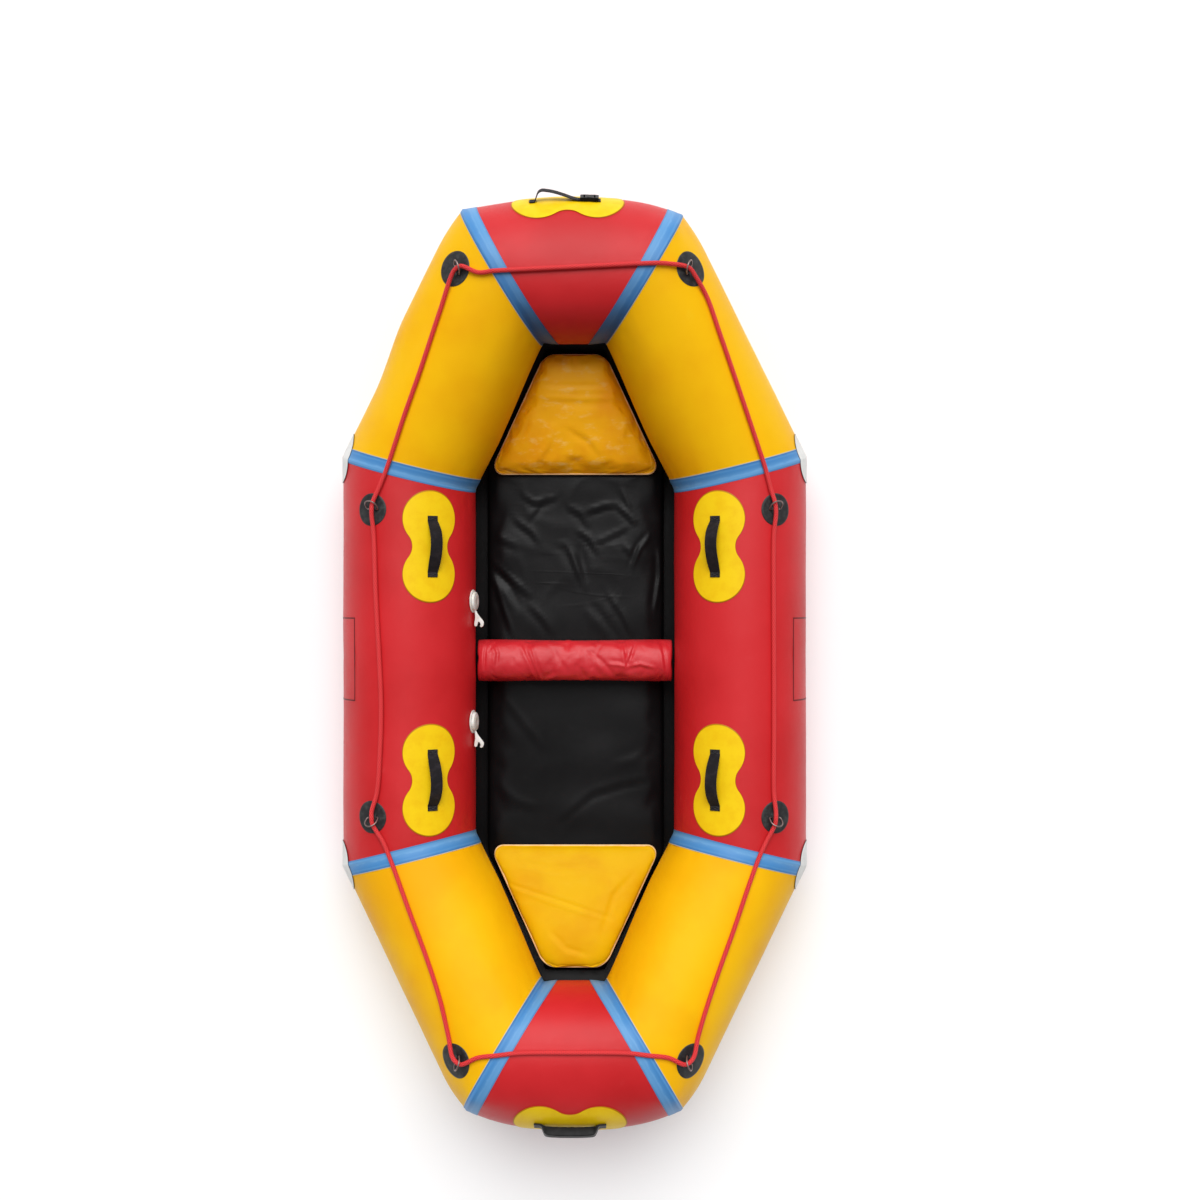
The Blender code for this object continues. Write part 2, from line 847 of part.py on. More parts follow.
def strap_between(name, run, angle, centreline, width, thickness, finish, end, side):
    tangent = run.axis.cross(run.spoke(angle)) * (width / 2)
    under = []
    over = []
    count = len(centreline)
    places = [hull_point(run, along, angle, tube_radius + height) for along, height in centreline]
    for step, place in enumerate(places):
        ahead = places[min(step + 1, count - 1)] - places[max(step - 1, 0)]
        rise = tangent.cross(ahead).normalized()
        if rise.dot(run.spoke(angle)) < 0:
            rise = -rise
        under.append([place - tangent, place + tangent])
        over.append([place - tangent + rise * thickness, place + tangent + rise * thickness])
    return solid_between(name, quarter_rows(under, end, side), quarter_rows(over, end, side), finish)


eight_top = patch_base(eight_lobe, eight_columns) - tube_radius + eight_thickness


def strap_centreline():
    base = eight_top + touch_gap
    points = [(-strap_length / 2, base)]
    count = 14
    for step in range(count + 1):
        share = 2 * step / count - 1
        lift = (1 - share ** 2) ** 1.6
        points.append((share * strap_span / 2, base + strap_height * lift))
    points.append((strap_length / 2, base))
    return points


def build_side_handles():
    for end in ("bow", "stern"):
        for side in ("left", "right"):
            wrapped_patch(
                f"{end}_{side}_handle_patch", side_run, handle_y, handle_angle, eight_outline(), eight_columns,
                eight_thickness, yellow_fabric, end, side,
            )
            centreline = [(handle_y + along, height) for along, height in strap_centreline()]
            strap_between(
                f"{end}_{side}_strap_handle", side_run, handle_angle, centreline,
                strap_width, strap_thickness, webbing, end, side,
            )


def build_bow_handle():
    wrapped_patch(
        "bow_handle_patch", end_run, bow_handle_x, bow_handle_angle, eight_outline(), eight_columns,
        eight_thickness, yellow_fabric, "bow", "left",
    )
    base = eight_top + touch_gap
    left = bow_handle_x - bow_strap_left
    peak = bow_handle_x - bow_strap_peak
    low = bow_handle_x + bow_strap_low
    right = bow_handle_x + bow_strap_right
    top = base + bow_strap_height
    points = [
        (left - bow_strap_foot, base),
        (left, base),
        (left + (peak - left) * 0.35, base + bow_strap_height * 0.42),
        (left + (peak - left) * 0.70, base + bow_strap_height * 0.82),
        (peak, top),
        (peak + (low - peak) * 0.12, top),
        (peak + (low - peak) * 0.35, base + bow_strap_height * 0.80),
        (peak + (low - peak) * 0.60, base + bow_strap_height * 0.45),
        (peak + (low - peak) * 0.82, base + bow_strap_height * 0.14),
        (low, base),
        (low + (right - low) * 0.5, base),
        (right, base),
    ]
    strap_between(
        "bow_strap", end_run, bow_handle_angle, points, bow_strap_width, strap_thickness,
        webbing, "bow", "left",
    )
    build_buckle(low + buckle_length / 2)


def rounded_block(name, length, width, thickness, corner, frame, finish):
    work = bmesh.new()
    bmesh.ops.create_cube(work, size=1.0)
    bmesh.ops.scale(work, vec=(length, width, thickness), verts=work.verts[:])
    upright = [edge for edge in work.edges if abs(edge.verts[0].co.z - edge.verts[1].co.z) > thickness / 2]
    bmesh.ops.bevel(work, geom=upright, offset=corner, segments=3, affect="EDGES", profile=0.5)
    piece = finish_bmesh(name, work, finish)
    piece.matrix_world = frame
    return piece


def build_buckle(along):
    height = eight_top + touch_gap + strap_thickness + touch_gap * 3 + buckle_thickness / 2
    centre = hull_point(end_run, along, bow_handle_angle, tube_radius + height)
    spoke = end_run.spoke(bow_handle_angle)
    nearby = hull_point(end_run, along + buckle_length / 2, bow_handle_angle, tube_radius + height)
    behind = hull_point(end_run, along - buckle_length / 2, bow_handle_angle, tube_radius + height)
    lengthwise = (nearby - behind).normalized()
    widthwise = spoke.cross(lengthwise).normalized()
    outward = lengthwise.cross(widthwise)
    frame = frame_from(centre, lengthwise, widthwise, outward)
    buckle = rounded_block(
        "bow_buckle", buckle_length, buckle_width, buckle_thickness, buckle_corner, frame, buckle_plastic
    )
    for label, share in (("left", -0.28), ("right", 0.28)):
        work = bmesh.new()
        bmesh.ops.create_cube(work, size=1.0)
        slot = (buckle_slot, bow_strap_width, buckle_thickness * 3)
        bmesh.ops.scale(work, vec=slot, verts=work.verts[:])
        slot_frame = frame @ Matrix.Translation((share * buckle_length, 0, 0))
        cutter = hide_cutter(finish_bmesh(f"buckle_{label}_slot", work, None, cutters), slot_frame)
        boolean(buckle, cutter, "DIFFERENCE")


def build_stern_grip():
    wrapped_patch(
        "stern_handle_patch", end_run, stern_handle_x, stern_handle_angle, eight_outline(), eight_columns,
        eight_thickness, yellow_fabric, "stern", "left",
    )
    base = eight_top + touch_gap
    top = base + grip_height
    points = [
        (-grip_base / 2 - grip_foot / 2, base),
        (-grip_base / 2 + grip_foot / 2, base),
        (-grip_top / 2 - grip_foot * 0.35, base + (top - base) * 0.45),
        (-grip_top / 2, top - (top - base) * 0.08),
        (-grip_top / 4, top),
        (0.0, top),
        (grip_top / 4, top),
        (grip_top / 2, top - (top - base) * 0.08),
        (grip_top / 2 + grip_foot * 0.35, base + (top - base) * 0.45),
        (grip_base / 2 - grip_foot / 2, base),
        (grip_base / 2 + grip_foot / 2, base),
    ]
    centreline = [(stern_handle_x + along, height) for along, height in points]
    strap_between(
        "stern_grip", end_run, stern_handle_angle, centreline, grip_width, grip_thickness,
        buckle_plastic, "stern", "left",
    )


# Valves: a flanged body through the tube wall, a sprung poppet and a cap with a forked pull tab

def valve_frame(end):
    centre = to_quarter(hull_point(side_run, valve_y, valve_angle, tube_radius), end, "left")
    spoke = to_quarter(side_run.spoke(valve_angle), end, "left")
    aft = -forward
    return frame_from(centre, aft, spoke.cross(aft), spoke)


def valve_body_outline():
    top = valve_collar_top
    flange_top = touch_gap + valve_flange_thickness
    lip_top = -valve_lip_depth
    lip_bottom = lip_top - valve_lip_thickness
    return [
        (valve_bore, top),
        (valve_collar, top),
        (valve_collar, flange_top),
        (valve_flange - valve_flange_edge, flange_top),
        (valve_flange, flange_top - valve_flange_edge),
        (valve_flange, touch_gap),
        (valve_neck, touch_gap),
        (valve_neck, -valve_neck_depth),
        (valve_bore, -valve_neck_depth),
        (valve_bore, lip_bottom),
        (valve_lip, lip_bottom),
        (valve_lip, lip_top),
        (valve_bore, lip_top),
    ]


def poppet_outline():
    disc_top = -valve_lip_depth - valve_lip_thickness - touch_gap
    disc_bottom = disc_top - poppet_disc_thickness
    button_top = valve_collar_top - touch_gap
    button_bottom = button_top - poppet_button_height
    return [
        (0, button_top),
        (poppet_button, button_top),
        (poppet_button, button_bottom),
        (poppet_stem, button_bottom),
        (poppet_stem, disc_top),
        (poppet_disc, disc_top),
        (poppet_disc, disc_bottom),
        (0, disc_bottom),
    ]


cap_skirt_bottom = touch_gap + valve_flange_thickness + touch_gap
cap_roof = valve_collar_top + touch_gap


def cap_outline():
    bore = valve_collar + touch_gap
    crest = cap_roof + cap_top
    return [
        (0, crest),
        (cap_radius * 0.55, crest - cap_top * 0.08),
        (cap_radius * 0.86, crest - cap_top * 0.35),
        (cap_radius, crest - cap_top * 0.85),
        (cap_radius, cap_skirt_bottom),
        (bore, cap_skirt_bottom),
        (bore, cap_roof),
        (0, cap_roof),
    ]


# The fork is drawn along the tube and away from it: a stem and two arms that curl down
def tab_outline():
    root = cap_radius - cap_wall / 2
    low = cap_skirt_bottom + touch_gap
    arm = tab_arm
    return [
        (root, low),
        (root + arm * 3, low + arm * 0.8),
        (root + arm * 6.5, low + arm * 1.0),
        (root + arm * 11.0, low + arm * 0.2),
        (root + arm * 13.0, low + arm * 1.0),
        (root + arm * 12.6, low + arm * 2.4),
        (root + arm * 9.6, low + arm * 3.2),
        (root + arm * 9.6, low + arm * 4.6),
        (root + arm * 11.6, low + arm * 5.4),
        (root + arm * 12.8, low + arm * 4.8),
        (root + arm * 13.6, low + arm * 6.0),
        (root + arm * 12.2, low + arm * 7.6),
        (root + arm * 9.4, low + arm * 7.9),
        (root + arm * 6.2, low + arm * 5.4),
        (root + arm * 3, low + arm * 2.9),
        (root, low + arm * 1.5),
    ]


def build_valves(left_tube):
    for end in ("bow", "stern"):
        frame = valve_frame(end)
        hole = round_cutter(
            f"{end}_valve_hole", valve_neck + touch_gap, valve_neck_depth * 2, valve_facets, frame
        )
        boolean(left_tube, hole, "DIFFERENCE")
        turned(f"{end}_valve_body", valve_body_outline(), frame, valve_plastic, True)
        turned(f"{end}_valve_poppet", poppet_outline(), frame, valve_plastic, False)
        cap = turned(f"{end}_valve_cap", cap_outline(), frame, valve_plastic, False)
        tab = prism(f"{end}_valve_tab", tab_outline(), tab_thickness, frame, None, cutters)
        hide_cutter(tab, frame)
        boolean(cap, tab, "UNION")


# Grab line: one rope, its ends spliced, that lies on the tubes between its eight rings

def smooth_loop(points, step):
    count = len(points)
    line = []
    for index in range(count):
        before, start, finish, after = (points[(index + shift) % count] for shift in (-1, 0, 1, 2))
        pieces = max(1, ceil((finish - start).length / step))
        for part in range(pieces):
            t = part / pieces
            line.append(0.5 * (
                2 * start + (finish - before) * t
                + (2 * before - 5 * start + 4 * finish - after) * t ** 2
                + (3 * start - before - 3 * finish + after) * t ** 3
            ))
    return line


# Through a ring the rope rises over the keeper and bends towards the boat's middle
def rope_through(seat, bend, backwards):
    spoke = seat.to_3x3().col[2]
    inboard = seat.to_3x3().col[1]
    if inboard.xy.dot(seat.translation.xy) > 0:
        inboard = -inboard
    points = []
    for share in (-0.9, -0.42, 0.08, 0.55, 1.0):
        along = share * ring_rise_length
        aside = bend * along ** 2
        flat = seat @ Vector((along, 0, 0)) + inboard * aside
        fade = max(0.0, 1 - share ** 2) ** 2
        points.append(hull_top(flat.x, flat.y, tube_radius + rope_lift + rope_radius) + spoke * (ring_rise * fade))
    return points[::-1] if backwards else points


def build_grab_line(seats):
    stretches = (
        (rope_over_bow, "bow_right_corner", corner_bend, True),
        (rope_bow_right, "bow_right_side", side_bend, True),
        (rope_right, "stern_right_side", side_bend, False),
        (rope_stern_right, "stern_right_corner", corner_bend, False),
        (rope_over_stern, "stern_left_corner", corner_bend, True),
        (rope_stern_left, "stern_left_side", side_bend, True),
        (rope_left, "bow_left_side", side_bend, False),
        (rope_bow_left, "bow_left_corner", corner_bend, False),
    )
    route = []
    for places, spot, bend, backwards in stretches:
        route += [hull_top(x, y, tube_radius + rope_lift + rope_radius) for x, y in places]
        route += rope_through(seats[spot], bend, backwards)
    line = smooth_loop(route, rope_step)
    wire_object("grab_line", line, rope_radius, 2, rope_red, Matrix.Identity(4), True)
    print("grab line points", len(line))
    print("grab line length", sum((line[i] - line[i - 1]).length for i in range(len(line))))


tubes = build_tubes()
build_tapes()
build_bulkheads()
build_floor_sheet()
build_mattress()
build_thwart()
build_seat_pads()
rope_seats = build_rope_patches()
build_side_handles()
build_bow_handle()
build_stern_grip()
build_valves(tubes["left"])
build_grab_line(rope_seats)
bpy.context.view_layer.update()
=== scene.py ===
import bmesh
import bpy
from math import atan2, ceil, cos, exp, hypot, pi, radians, sin, sqrt
from mathutils import Matrix, Vector, noise


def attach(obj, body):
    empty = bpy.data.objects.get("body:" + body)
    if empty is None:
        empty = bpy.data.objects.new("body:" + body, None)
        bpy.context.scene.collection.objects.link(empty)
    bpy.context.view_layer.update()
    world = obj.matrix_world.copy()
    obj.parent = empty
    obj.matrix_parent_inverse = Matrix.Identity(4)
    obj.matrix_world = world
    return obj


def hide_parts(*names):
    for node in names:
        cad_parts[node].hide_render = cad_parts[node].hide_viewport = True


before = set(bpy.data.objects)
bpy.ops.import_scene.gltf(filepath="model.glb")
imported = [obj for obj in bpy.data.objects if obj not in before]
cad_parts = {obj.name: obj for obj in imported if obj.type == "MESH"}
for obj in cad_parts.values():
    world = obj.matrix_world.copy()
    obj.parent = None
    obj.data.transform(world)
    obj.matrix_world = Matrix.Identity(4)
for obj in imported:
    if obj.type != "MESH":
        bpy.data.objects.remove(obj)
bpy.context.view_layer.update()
print("frame loaded")

# the photograph was taken from straight above, a little off the middle
camera = {"place": (0.064, 0.155, 4.0), "lens": 45.1, "sensor": 36.0}

bpy.ops.object.camera_add(location=camera["place"], rotation=(0, 0, 0))
lensPiece = bpy.context.object
lensPiece.data.lens = camera["lens"]
lensPiece.data.sensor_width = camera["sensor"]
lensPiece.data.dof.use_dof = False
bpy.context.scene.camera = lensPiece
print("camera")


# hull ring: one bow-left quarter gives the others by mirroring
hull = {
    "radius": 0.167, "wall": 0.001, "sideX": 0.4205, "sideSeamY": 0.479, "endSeamX": 0.169, "endY": 0.9465,
    "rise": 0.115, "bulge": 0.0325, "gap": 0.0003, "floor": 0.0012,
}
forward = Vector((0, 1, 0))
across = Vector((1, 0, 0))
upward = Vector((0, 0, 1))


class Run:
    def __init__(self, start, axis, up, out):
        self.start = start
        self.axis = axis
        self.up = up
        self.out = out

    def spoke(self, angle):
        return self.up * cos(angle) + self.out * sin(angle)

    def meets(self, corner, normal, angle, radius=hull["radius"]):    # how far along it meets a plane
        toPlane = corner - self.start - self.spoke(angle) * radius
        return toPlane.dot(normal) / self.axis.dot(normal)

    def read(self, place):    # how far along and at what angle a place stands
        rise = place - self.start
        return rise.dot(self.axis), atan2(rise.dot(self.out), rise.dot(self.up))


def mirroredIn(normal, direction):
    return direction - normal * (2 * direction.dot(normal))


axisZ = hull["floor"] + hull["gap"] + hull["radius"]
sideCorner = Vector((-hull["sideX"], hull["sideSeamY"], axisZ))
endCorner = Vector((-hull["endSeamX"], hull["endY"], axisZ + hull["rise"]))
slantAxis = (endCorner - sideCorner).normalized()
sidePlane = (forward + slantAxis).normalized()
endPlane = (slantAxis + across).normalized()
sideRun = Run(Vector((-hull["sideX"], 0, axisZ)), forward, upward, -across)
slantRun = Run(sideCorner, slantAxis, mirroredIn(sidePlane, sideRun.up), mirroredIn(sidePlane, sideRun.out))
endRun = Run(
    Vector((0, hull["endY"], axisZ + hull["rise"])), across,
    mirroredIn(endPlane, slantRun.up), mirroredIn(endPlane, slantRun.out),
)


def endReach(angle, radius=hull["radius"]):
    return -endRun.meets(endCorner, endPlane, angle, radius)


def hullPoint(run, along, angle, radius=hull["radius"]):
    spoke = run.spoke(angle)
    point = run.start + run.axis * along + spoke * radius
    if run is endRun:
        fullness = 1 - (along / endReach(angle, radius)) ** 2
        point += forward * (hull["bulge"] * fullness * max(0.0, spoke.dot(forward)))
    return point


def toQuarter(point, end, side):
    return Vector((-point.x if side == "right" else point.x, -point.y if end == "stern" else point.y, point.z))


# the outer corners between slant and end tubes are pulled round, and the bow-left slant tube bellies out
corners = {"pull": {"bow": 0.014, "stern": 0.018}, "slantReach": 0.115, "endReach": 0.155, "belly": 0.016,
           "bellyFrom": 0.3, "bellyTo": 0.5, "bellyEnd": 0.13, "innerSlant": 0.017, "innerEnd": 0.01,
           "innerReach": 0.27, "innerStep": 0.05, "turn": 0.2, "innerTurn": 0.1,
           "outerFrom": 0.64, "outerTo": 0.98, "innerFrom": 0.3, "innerTo": 0.95}


def eased(value, low, high):
    share = min(1.0, max(0.0, (value - low) / (high - low)))
    return share * share * (3 - 2 * share)


def sharedWay(run, near, angle, along, reach):    # from the tube's own way to the one that two tubes share
    own = run.spoke(angle)
    shared = (slantRun.spoke(angle) + endRun.spoke(angle)).normalized()
    if run is endRun and along > 0:
        shared.x = -shared.x
    return (own + (shared - own) * max(0.0, 1 - near / reach)).normalized()


def innerMove(run, near, angle, along):    # the slant and end tubes are slimmer towards the cockpit's end corners
    slant, end = corners["innerSlant"], corners["innerEnd"]
    if run is slantRun:
        amount = slant * max(0.0, 1 - near / corners["innerReach"]) ** 1.2
    else:
        amount = end + (slant - end) * max(0.0, 1 - near / corners["innerStep"]) ** 2
    inner = eased(-sin(angle), corners["innerFrom"], corners["innerTo"])
    return sharedWay(run, near, angle, along, corners["innerTurn"]) * (-amount * inner)


def cornerMove(run, along, angle, end, side):    # how the skin is moved near an end corner
    if run is sideRun:
        return Vector((0, 0, 0))
    if run is slantRun:
        near = max(0.0, run.meets(endCorner, endPlane, angle) - along)
        pullReach = corners["slantReach"]
        bellied = 1 - eased(near, corners["bellyFrom"], corners["bellyTo"])
    else:
        near = max(0.0, endReach(angle) - abs(along))
        pullReach = corners["endReach"]
        bellied = max(0.0, 1 - near / corners["bellyEnd"]) ** 2
    outer = eased(sin(angle), corners["outerFrom"], corners["outerTo"])
    if outer == 0:
        return innerMove(run, near, angle, along)
    amount = -corners["pull"][end] * max(0.0, 1 - near / pullReach) ** 2
    if end == "bow" and side == "left" and (run is slantRun or along < 0):
        amount += corners["belly"] * bellied
    return sharedWay(run, near, angle, along, corners["turn"]) * (amount * outer)


# how far along and at what angle a tube's skin stands over a place in plan
def spotOver(run, x, y, radius):
    rise = Vector((x, y, 0)) - run.start
    flat = rise - run.axis * rise.dot(run.axis)
    lift = upward - run.axis * upward.dot(run.axis)
    a = lift.dot(lift)
    b = flat.dot(lift)
    c = flat.dot(flat) - radius ** 2
    height = (-b + sqrt(max(0.0, b * b - a * c))) / a
    return run.read(Vector((x, y, height)))


def hullTop(x, y, radius):    # the hull's highest point over a place in plan
    for run, corner, normal in ((sideRun, sideCorner, sidePlane), (slantRun, endCorner, endPlane)):
        along, angle = spotOver(run, -abs(x), abs(y), radius)
        point = hullPoint(run, along, angle, radius)
        if (point - corner).dot(normal) <= 0:
            return Vector((x, y, point.z))
    along, angle = spotOver(endRun, -abs(x), abs(y), radius)
    return Vector((x, y, hullPoint(endRun, along, angle, radius).z))


# the skin is never quite true: a slow swell that dies away near what is glued on
skin = {"swell": 0.0011, "swellSize": 4.6, "dimple": 0.00035, "dimpleSize": 15.0, "calm": 0.11}
calmSpots = []


def skinLift(place):
    calm = min([1.0] + [(place - spot).length / skin["calm"] for spot in calmSpots])
    slow = noise.noise(place * skin["swellSize"]) * skin["swell"]
    quick = noise.noise(place * skin["dimpleSize"] + Vector((7, 3, 1))) * skin["dimple"]
    return (slow + quick) * calm * calm


def onHull(run, along, angle, lift, end, side):    # a place on the finished skin, lifted off it
    home = hullPoint(run, along, angle) + cornerMove(run, along, angle, end, side)
    point = toQuarter(home, end, side)
    return point + toQuarter(run.spoke(angle), end, side) * (lift + skinLift(point))


# what the hand does at the bench: pick, open, select, close, finish
def pickOnly(piece):
    bpy.ops.object.select_all(action="DESELECT")
    piece.select_set(True)
    bpy.context.view_layer.objects.active = piece


def openEdit(piece, kind="FACE", everything=False):
    pickOnly(piece)
    bpy.ops.object.mode_set(mode="EDIT")
    bpy.ops.mesh.select_mode(type=kind)
    if everything:
        bpy.ops.mesh.select_all(action="SELECT")


def closeEdit():
    bpy.ops.object.mode_set(mode="OBJECT")


def selectParts(piece, kind, wanted):    # kind is edges or faces
    work = bmesh.from_edit_mesh(piece.data)
    for part in getattr(work, kind):
        part.select_set(wanted(part))
    bmesh.update_edit_mesh(piece.data)


def cutAcross(piece, way, cuts):    # cuts up every edge that runs along the way
    openEdit(piece, "EDGE")
    selectParts(piece, "edges",
                lambda edge: abs((edge.verts[1].co - edge.verts[0].co).normalized().dot(way)) > 0.999)
    bpy.ops.mesh.subdivide(number_cuts=cuts)
    closeEdit()


def placeDown(piece):
    pickOnly(piece)
    bpy.ops.object.transform_apply(location=True, rotation=True, scale=True)


def movePoints(piece, place):
    for point in piece.data.vertices:
        point.co = place(point.co.copy())
    piece.data.update()


def tidyMesh(piece, merge=1e-6):
    openEdit(piece, "VERT", True)
    bpy.ops.mesh.remove_doubles(threshold=merge)
    bpy.ops.mesh.normals_make_consistent(inside=False)
    closeEdit()


def changeBy(piece, kind, **settings):    # one modifier, set and applied
    change = piece.modifiers.new("change", kind)
    for setting, value in settings.items():
        setattr(change, setting, value)
    pickOnly(piece)
    bpy.ops.object.modifier_apply(modifier=change.name)


def thicken(piece, thickness, offset):
    changeBy(piece, "SOLIDIFY", thickness=thickness, offset=offset, use_even_offset=True)


def roundEdges(piece, width, segments=2, angle=40):
    changeBy(piece, "BEVEL", width=width, segments=segments, limit_method="ANGLE", angle_limit=radians(angle))


def copyOf(piece):    # with a mesh of its own
    other = piece.copy()
    other.data = piece.data.copy()
    bpy.context.scene.collection.objects.link(other)
    return other


def joinTo(piece, other):
    pickOnly(piece)
    other.select_set(True)
    bpy.ops.object.join()


def finishPiece(piece, name, finish, body="hull", nodes=(), angle=38):
    placeDown(piece)
    bpy.ops.object.shade_smooth_by_angle(angle=radians(angle))
    piece.name = name
    piece.data.name = name
    piece.data.materials.clear()
    piece.data.materials.append(finish)
    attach(piece, body)
    if nodes:
        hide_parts(*nodes)
    return piece


def setLayout(piece, read):    # the piece's own UV map, in metres
    mesh = piece.data
    layer = mesh.uv_layers.active or mesh.uv_layers.new(name="cloth")
    for loop in mesh.loops:
        layer.data[loop.index].uv = read(mesh.vertices[loop.vertex_index].co)


# a bare grid whose two shares run over 0 to 1, laid where place() says, with its layout in metres
def laidGrid(columns, rows, place, layout):
    bpy.ops.mesh.primitive_grid_add(x_subdivisions=columns, y_subdivisions=rows, size=1, location=(0, 0, 0))
    piece = bpy.context.object
    setLayout(piece, lambda co: layout(co.x + 0.5, co.y + 0.5))
    movePoints(piece, lambda co: place(co.x + 0.5, co.y + 0.5))
    return piece


# shader sockets that take plain arithmetic
class Reading:
    def __init__(self, bench, socket):
        self.bench = bench
        self.socket = socket

    def __add__(self, other):
        return self.bench.sum("ADD", self, other)

    def __radd__(self, other):
        return self.bench.sum("ADD", other, self)

    def __sub__(self, other):
        return self.bench.sum("SUBTRACT", self, other)

    def __rsub__(self, other):
        return self.bench.sum("SUBTRACT", other, self)

    def __mul__(self, other):
        return self.bench.sum("MULTIPLY", self, other)

    def __rmul__(self, other):
        return self.bench.sum("MULTIPLY", other, self)


class Bench:    # a node tree on the bench
    def __init__(self, tree):
        self.tree = tree

    def add(self, kind, settings, values, out=0):
        node = self.tree.nodes.new(kind)
        for setting, value in settings.items():
            setattr(node, setting, value)
        for socket, value in values.items():
            if isinstance(value, Reading):
                self.tree.links.new(value.socket, node.inputs[socket])
            else:
                node.inputs[socket].default_value = value
        return Reading(self, node.outputs[out])

    def sum(self, operation, *values):
        return self.add("ShaderNodeMath", {"operation": operation}, dict(enumerate(values)))

    def sine(self, value):
        return self.sum("SINE", value)

    def wave(self, value, pitch):
        return self.sine(value * (2 * pi / pitch))

    def place(self, kind="Object"):
        return self.add("ShaderNodeTexCoord", {}, {}, kind)

    def parts(self, vector):
        node = self.add("ShaderNodeSeparateXYZ", {}, {0: vector}).socket.node
        return [Reading(self, output) for output in node.outputs]

    def cloud(self, where, scale, detail=3.0, roughness=0.5, stretch=None, turn=0.0, bent=0.0):
        if stretch:
            where = self.add("ShaderNodeMapping", {}, {"Vector": where, "Rotation": (0, 0, turn), "Scale": stretch})
        return self.add("ShaderNodeTexNoise", {"noise_dimensions": "3D"}, {
            "Vector": where, "Scale": scale, "Detail": detail, "Roughness": roughness, "Distortion": bent,
        })

    def clouds(self, *sizes):
        where = self.place()
        return [self.cloud(where, *size) for size in sizes]

    def spread(self, value, low, high, newLow=0.0, newHigh=1.0):    # a range stretched to another
        return self.add("ShaderNodeMapRange", {"clamp": True, "interpolation_type": "SMOOTHSTEP"}, {
            "Value": value, "From Min": low, "From Max": high, "To Min": newLow, "To Max": newHigh,
        })

    def blend(self, share, first, second):
        return self.add("ShaderNodeMix", {"data_type": "RGBA"}, {0: share, 6: first, 7: second}, 2)

    def tinted(self, mask, low, high, first, second, most=1.0):    # the second tone where the mask is high
        return self.blend(self.spread(mask, low, high, 0.0, most), first, second)


class Finish(Bench):    # one material
    def __init__(self, name, **shaderValues):
        self.material = bpy.data.materials.new(name)
        self.material.use_nodes = True
        super().__init__(self.material.node_tree)
        self.shader = self.tree.nodes["Principled BSDF"]
        for socket, value in shaderValues.items():
            self.shader.inputs[socket.replace("_", " ")].default_value = value

    def dress(self, colour, rough=None, height=None, strength=1.0, depth=0.001):
        links = {"Base Color": colour}
        if rough:
            bump = self.add("ShaderNodeBump", {}, {"Height": height, "Strength": strength, "Distance": depth})
            links.update({"Roughness": rough, "Normal": bump})
        for socket, value in links.items():
            self.tree.links.new(value.socket, self.shader.inputs[socket])
        return self.material


def tone(red, green, blue):
    return (red, green, blue, 1.0)


def weave(bench, where, pitch):    # threads both ways
    across, along = bench.parts(where)[:2]
    return bench.wave(across, pitch) * bench.wave(along, pitch)


def coatedCloth(name, base, deep, scuffed, shine):
    bench = Finish(name, Specular_IOR_Level=shine)
    patches, grain, ripple, streaks = bench.clouds(
        (3.2, 4.0, 0.55), (55.0, 3.0, 0.6), (9.0, 2.0, 0.4), (30.0, 4.0, 0.65, (0.35, 0.35, 1.4))
    )
    colour = bench.tinted(patches, 0.35, 0.7, base, deep)
    colour = bench.tinted(streaks, 0.66, 0.8, colour, scuffed, 0.35)
    rough = 0.3 + patches * 0.1 + grain * 0.08 + bench.spread(streaks, 0.6, 0.8, 0.0, 0.18)
    height = ripple * 6.0 + grain * 0.6 + weave(bench, bench.place("UV"), 0.0014) * 0.35
    return bench.dress(colour, rough, height, 0.35, 0.0006)


redCloth = coatedCloth(
    "red tube cloth", tone(0.64, 0.018, 0.023), tone(0.55, 0.011, 0.014), tone(0.7, 0.1, 0.1), 0.3
)
yellowCloth = coatedCloth(
    "yellow tube cloth", tone(0.95, 0.52, 0.003), tone(0.89, 0.42, 0.002), tone(0.94, 0.6, 0.02), 0.09
)
tapeWidths = {"side": 0.038, "end": 0.044}
tapeLane = 0.0175


def stripedTape(name, width):
    bench = Finish(name, Specular_IOR_Level=0.22)
    fromYellow = bench.parts(bench.place("UV"))[1]    # metres from the tape's edge on the yellow tube
    fromRed = width - fromYellow
    y = bench.parts(bench.place())[1]
    mottle, = bench.clouds((34.0, 3.0, 0.6))
    drift = mottle - 0.5
    lanes = bench.sine((fromYellow + drift * 0.01) * (2 * pi / tapeLane) - 1.3)
    pale = bench.spread(lanes + drift * 2.2, 0.1, 1.8) * 0.35
    pale = pale + bench.spread(fromYellow, width * 0.3, width * 0.8) * 0.4
    colour = bench.blend(pale, tone(0.066, 0.245, 0.545), tone(0.2, 0.44, 0.72))
    edge = 1 - bench.spread(fromYellow, 0.003, 0.01) * bench.spread(fromRed, 0.001, 0.006)
    colour = bench.blend(edge * 0.6, colour, tone(0.034, 0.15, 0.38))
    # painted shade: the bow seams are painted darker where they run down into the cockpit, where shade falls
    bowCockpitShade = bench.spread(y, 0.6, 0.68) * (1 - bench.spread(y + drift * 0.02, 0.8, 1.0))
    colour = bench.blend(bowCockpitShade * 0.7, colour, tone(0.018, 0.052, 0.15))
    glueLine = 0.75 - bench.spread(fromYellow, 0.0012, 0.0024) * 0.75
    colour = bench.blend(glueLine, colour, tone(0.74, 0.62, 0.3))
    return bench.dress(colour, 0.34 + mottle * 0.16, lanes * 0.2 + mottle, 0.3, 0.0004)


tapeCloth = {seam: stripedTape(f"blue {seam} tape", width) for seam, width in tapeWidths.items()}


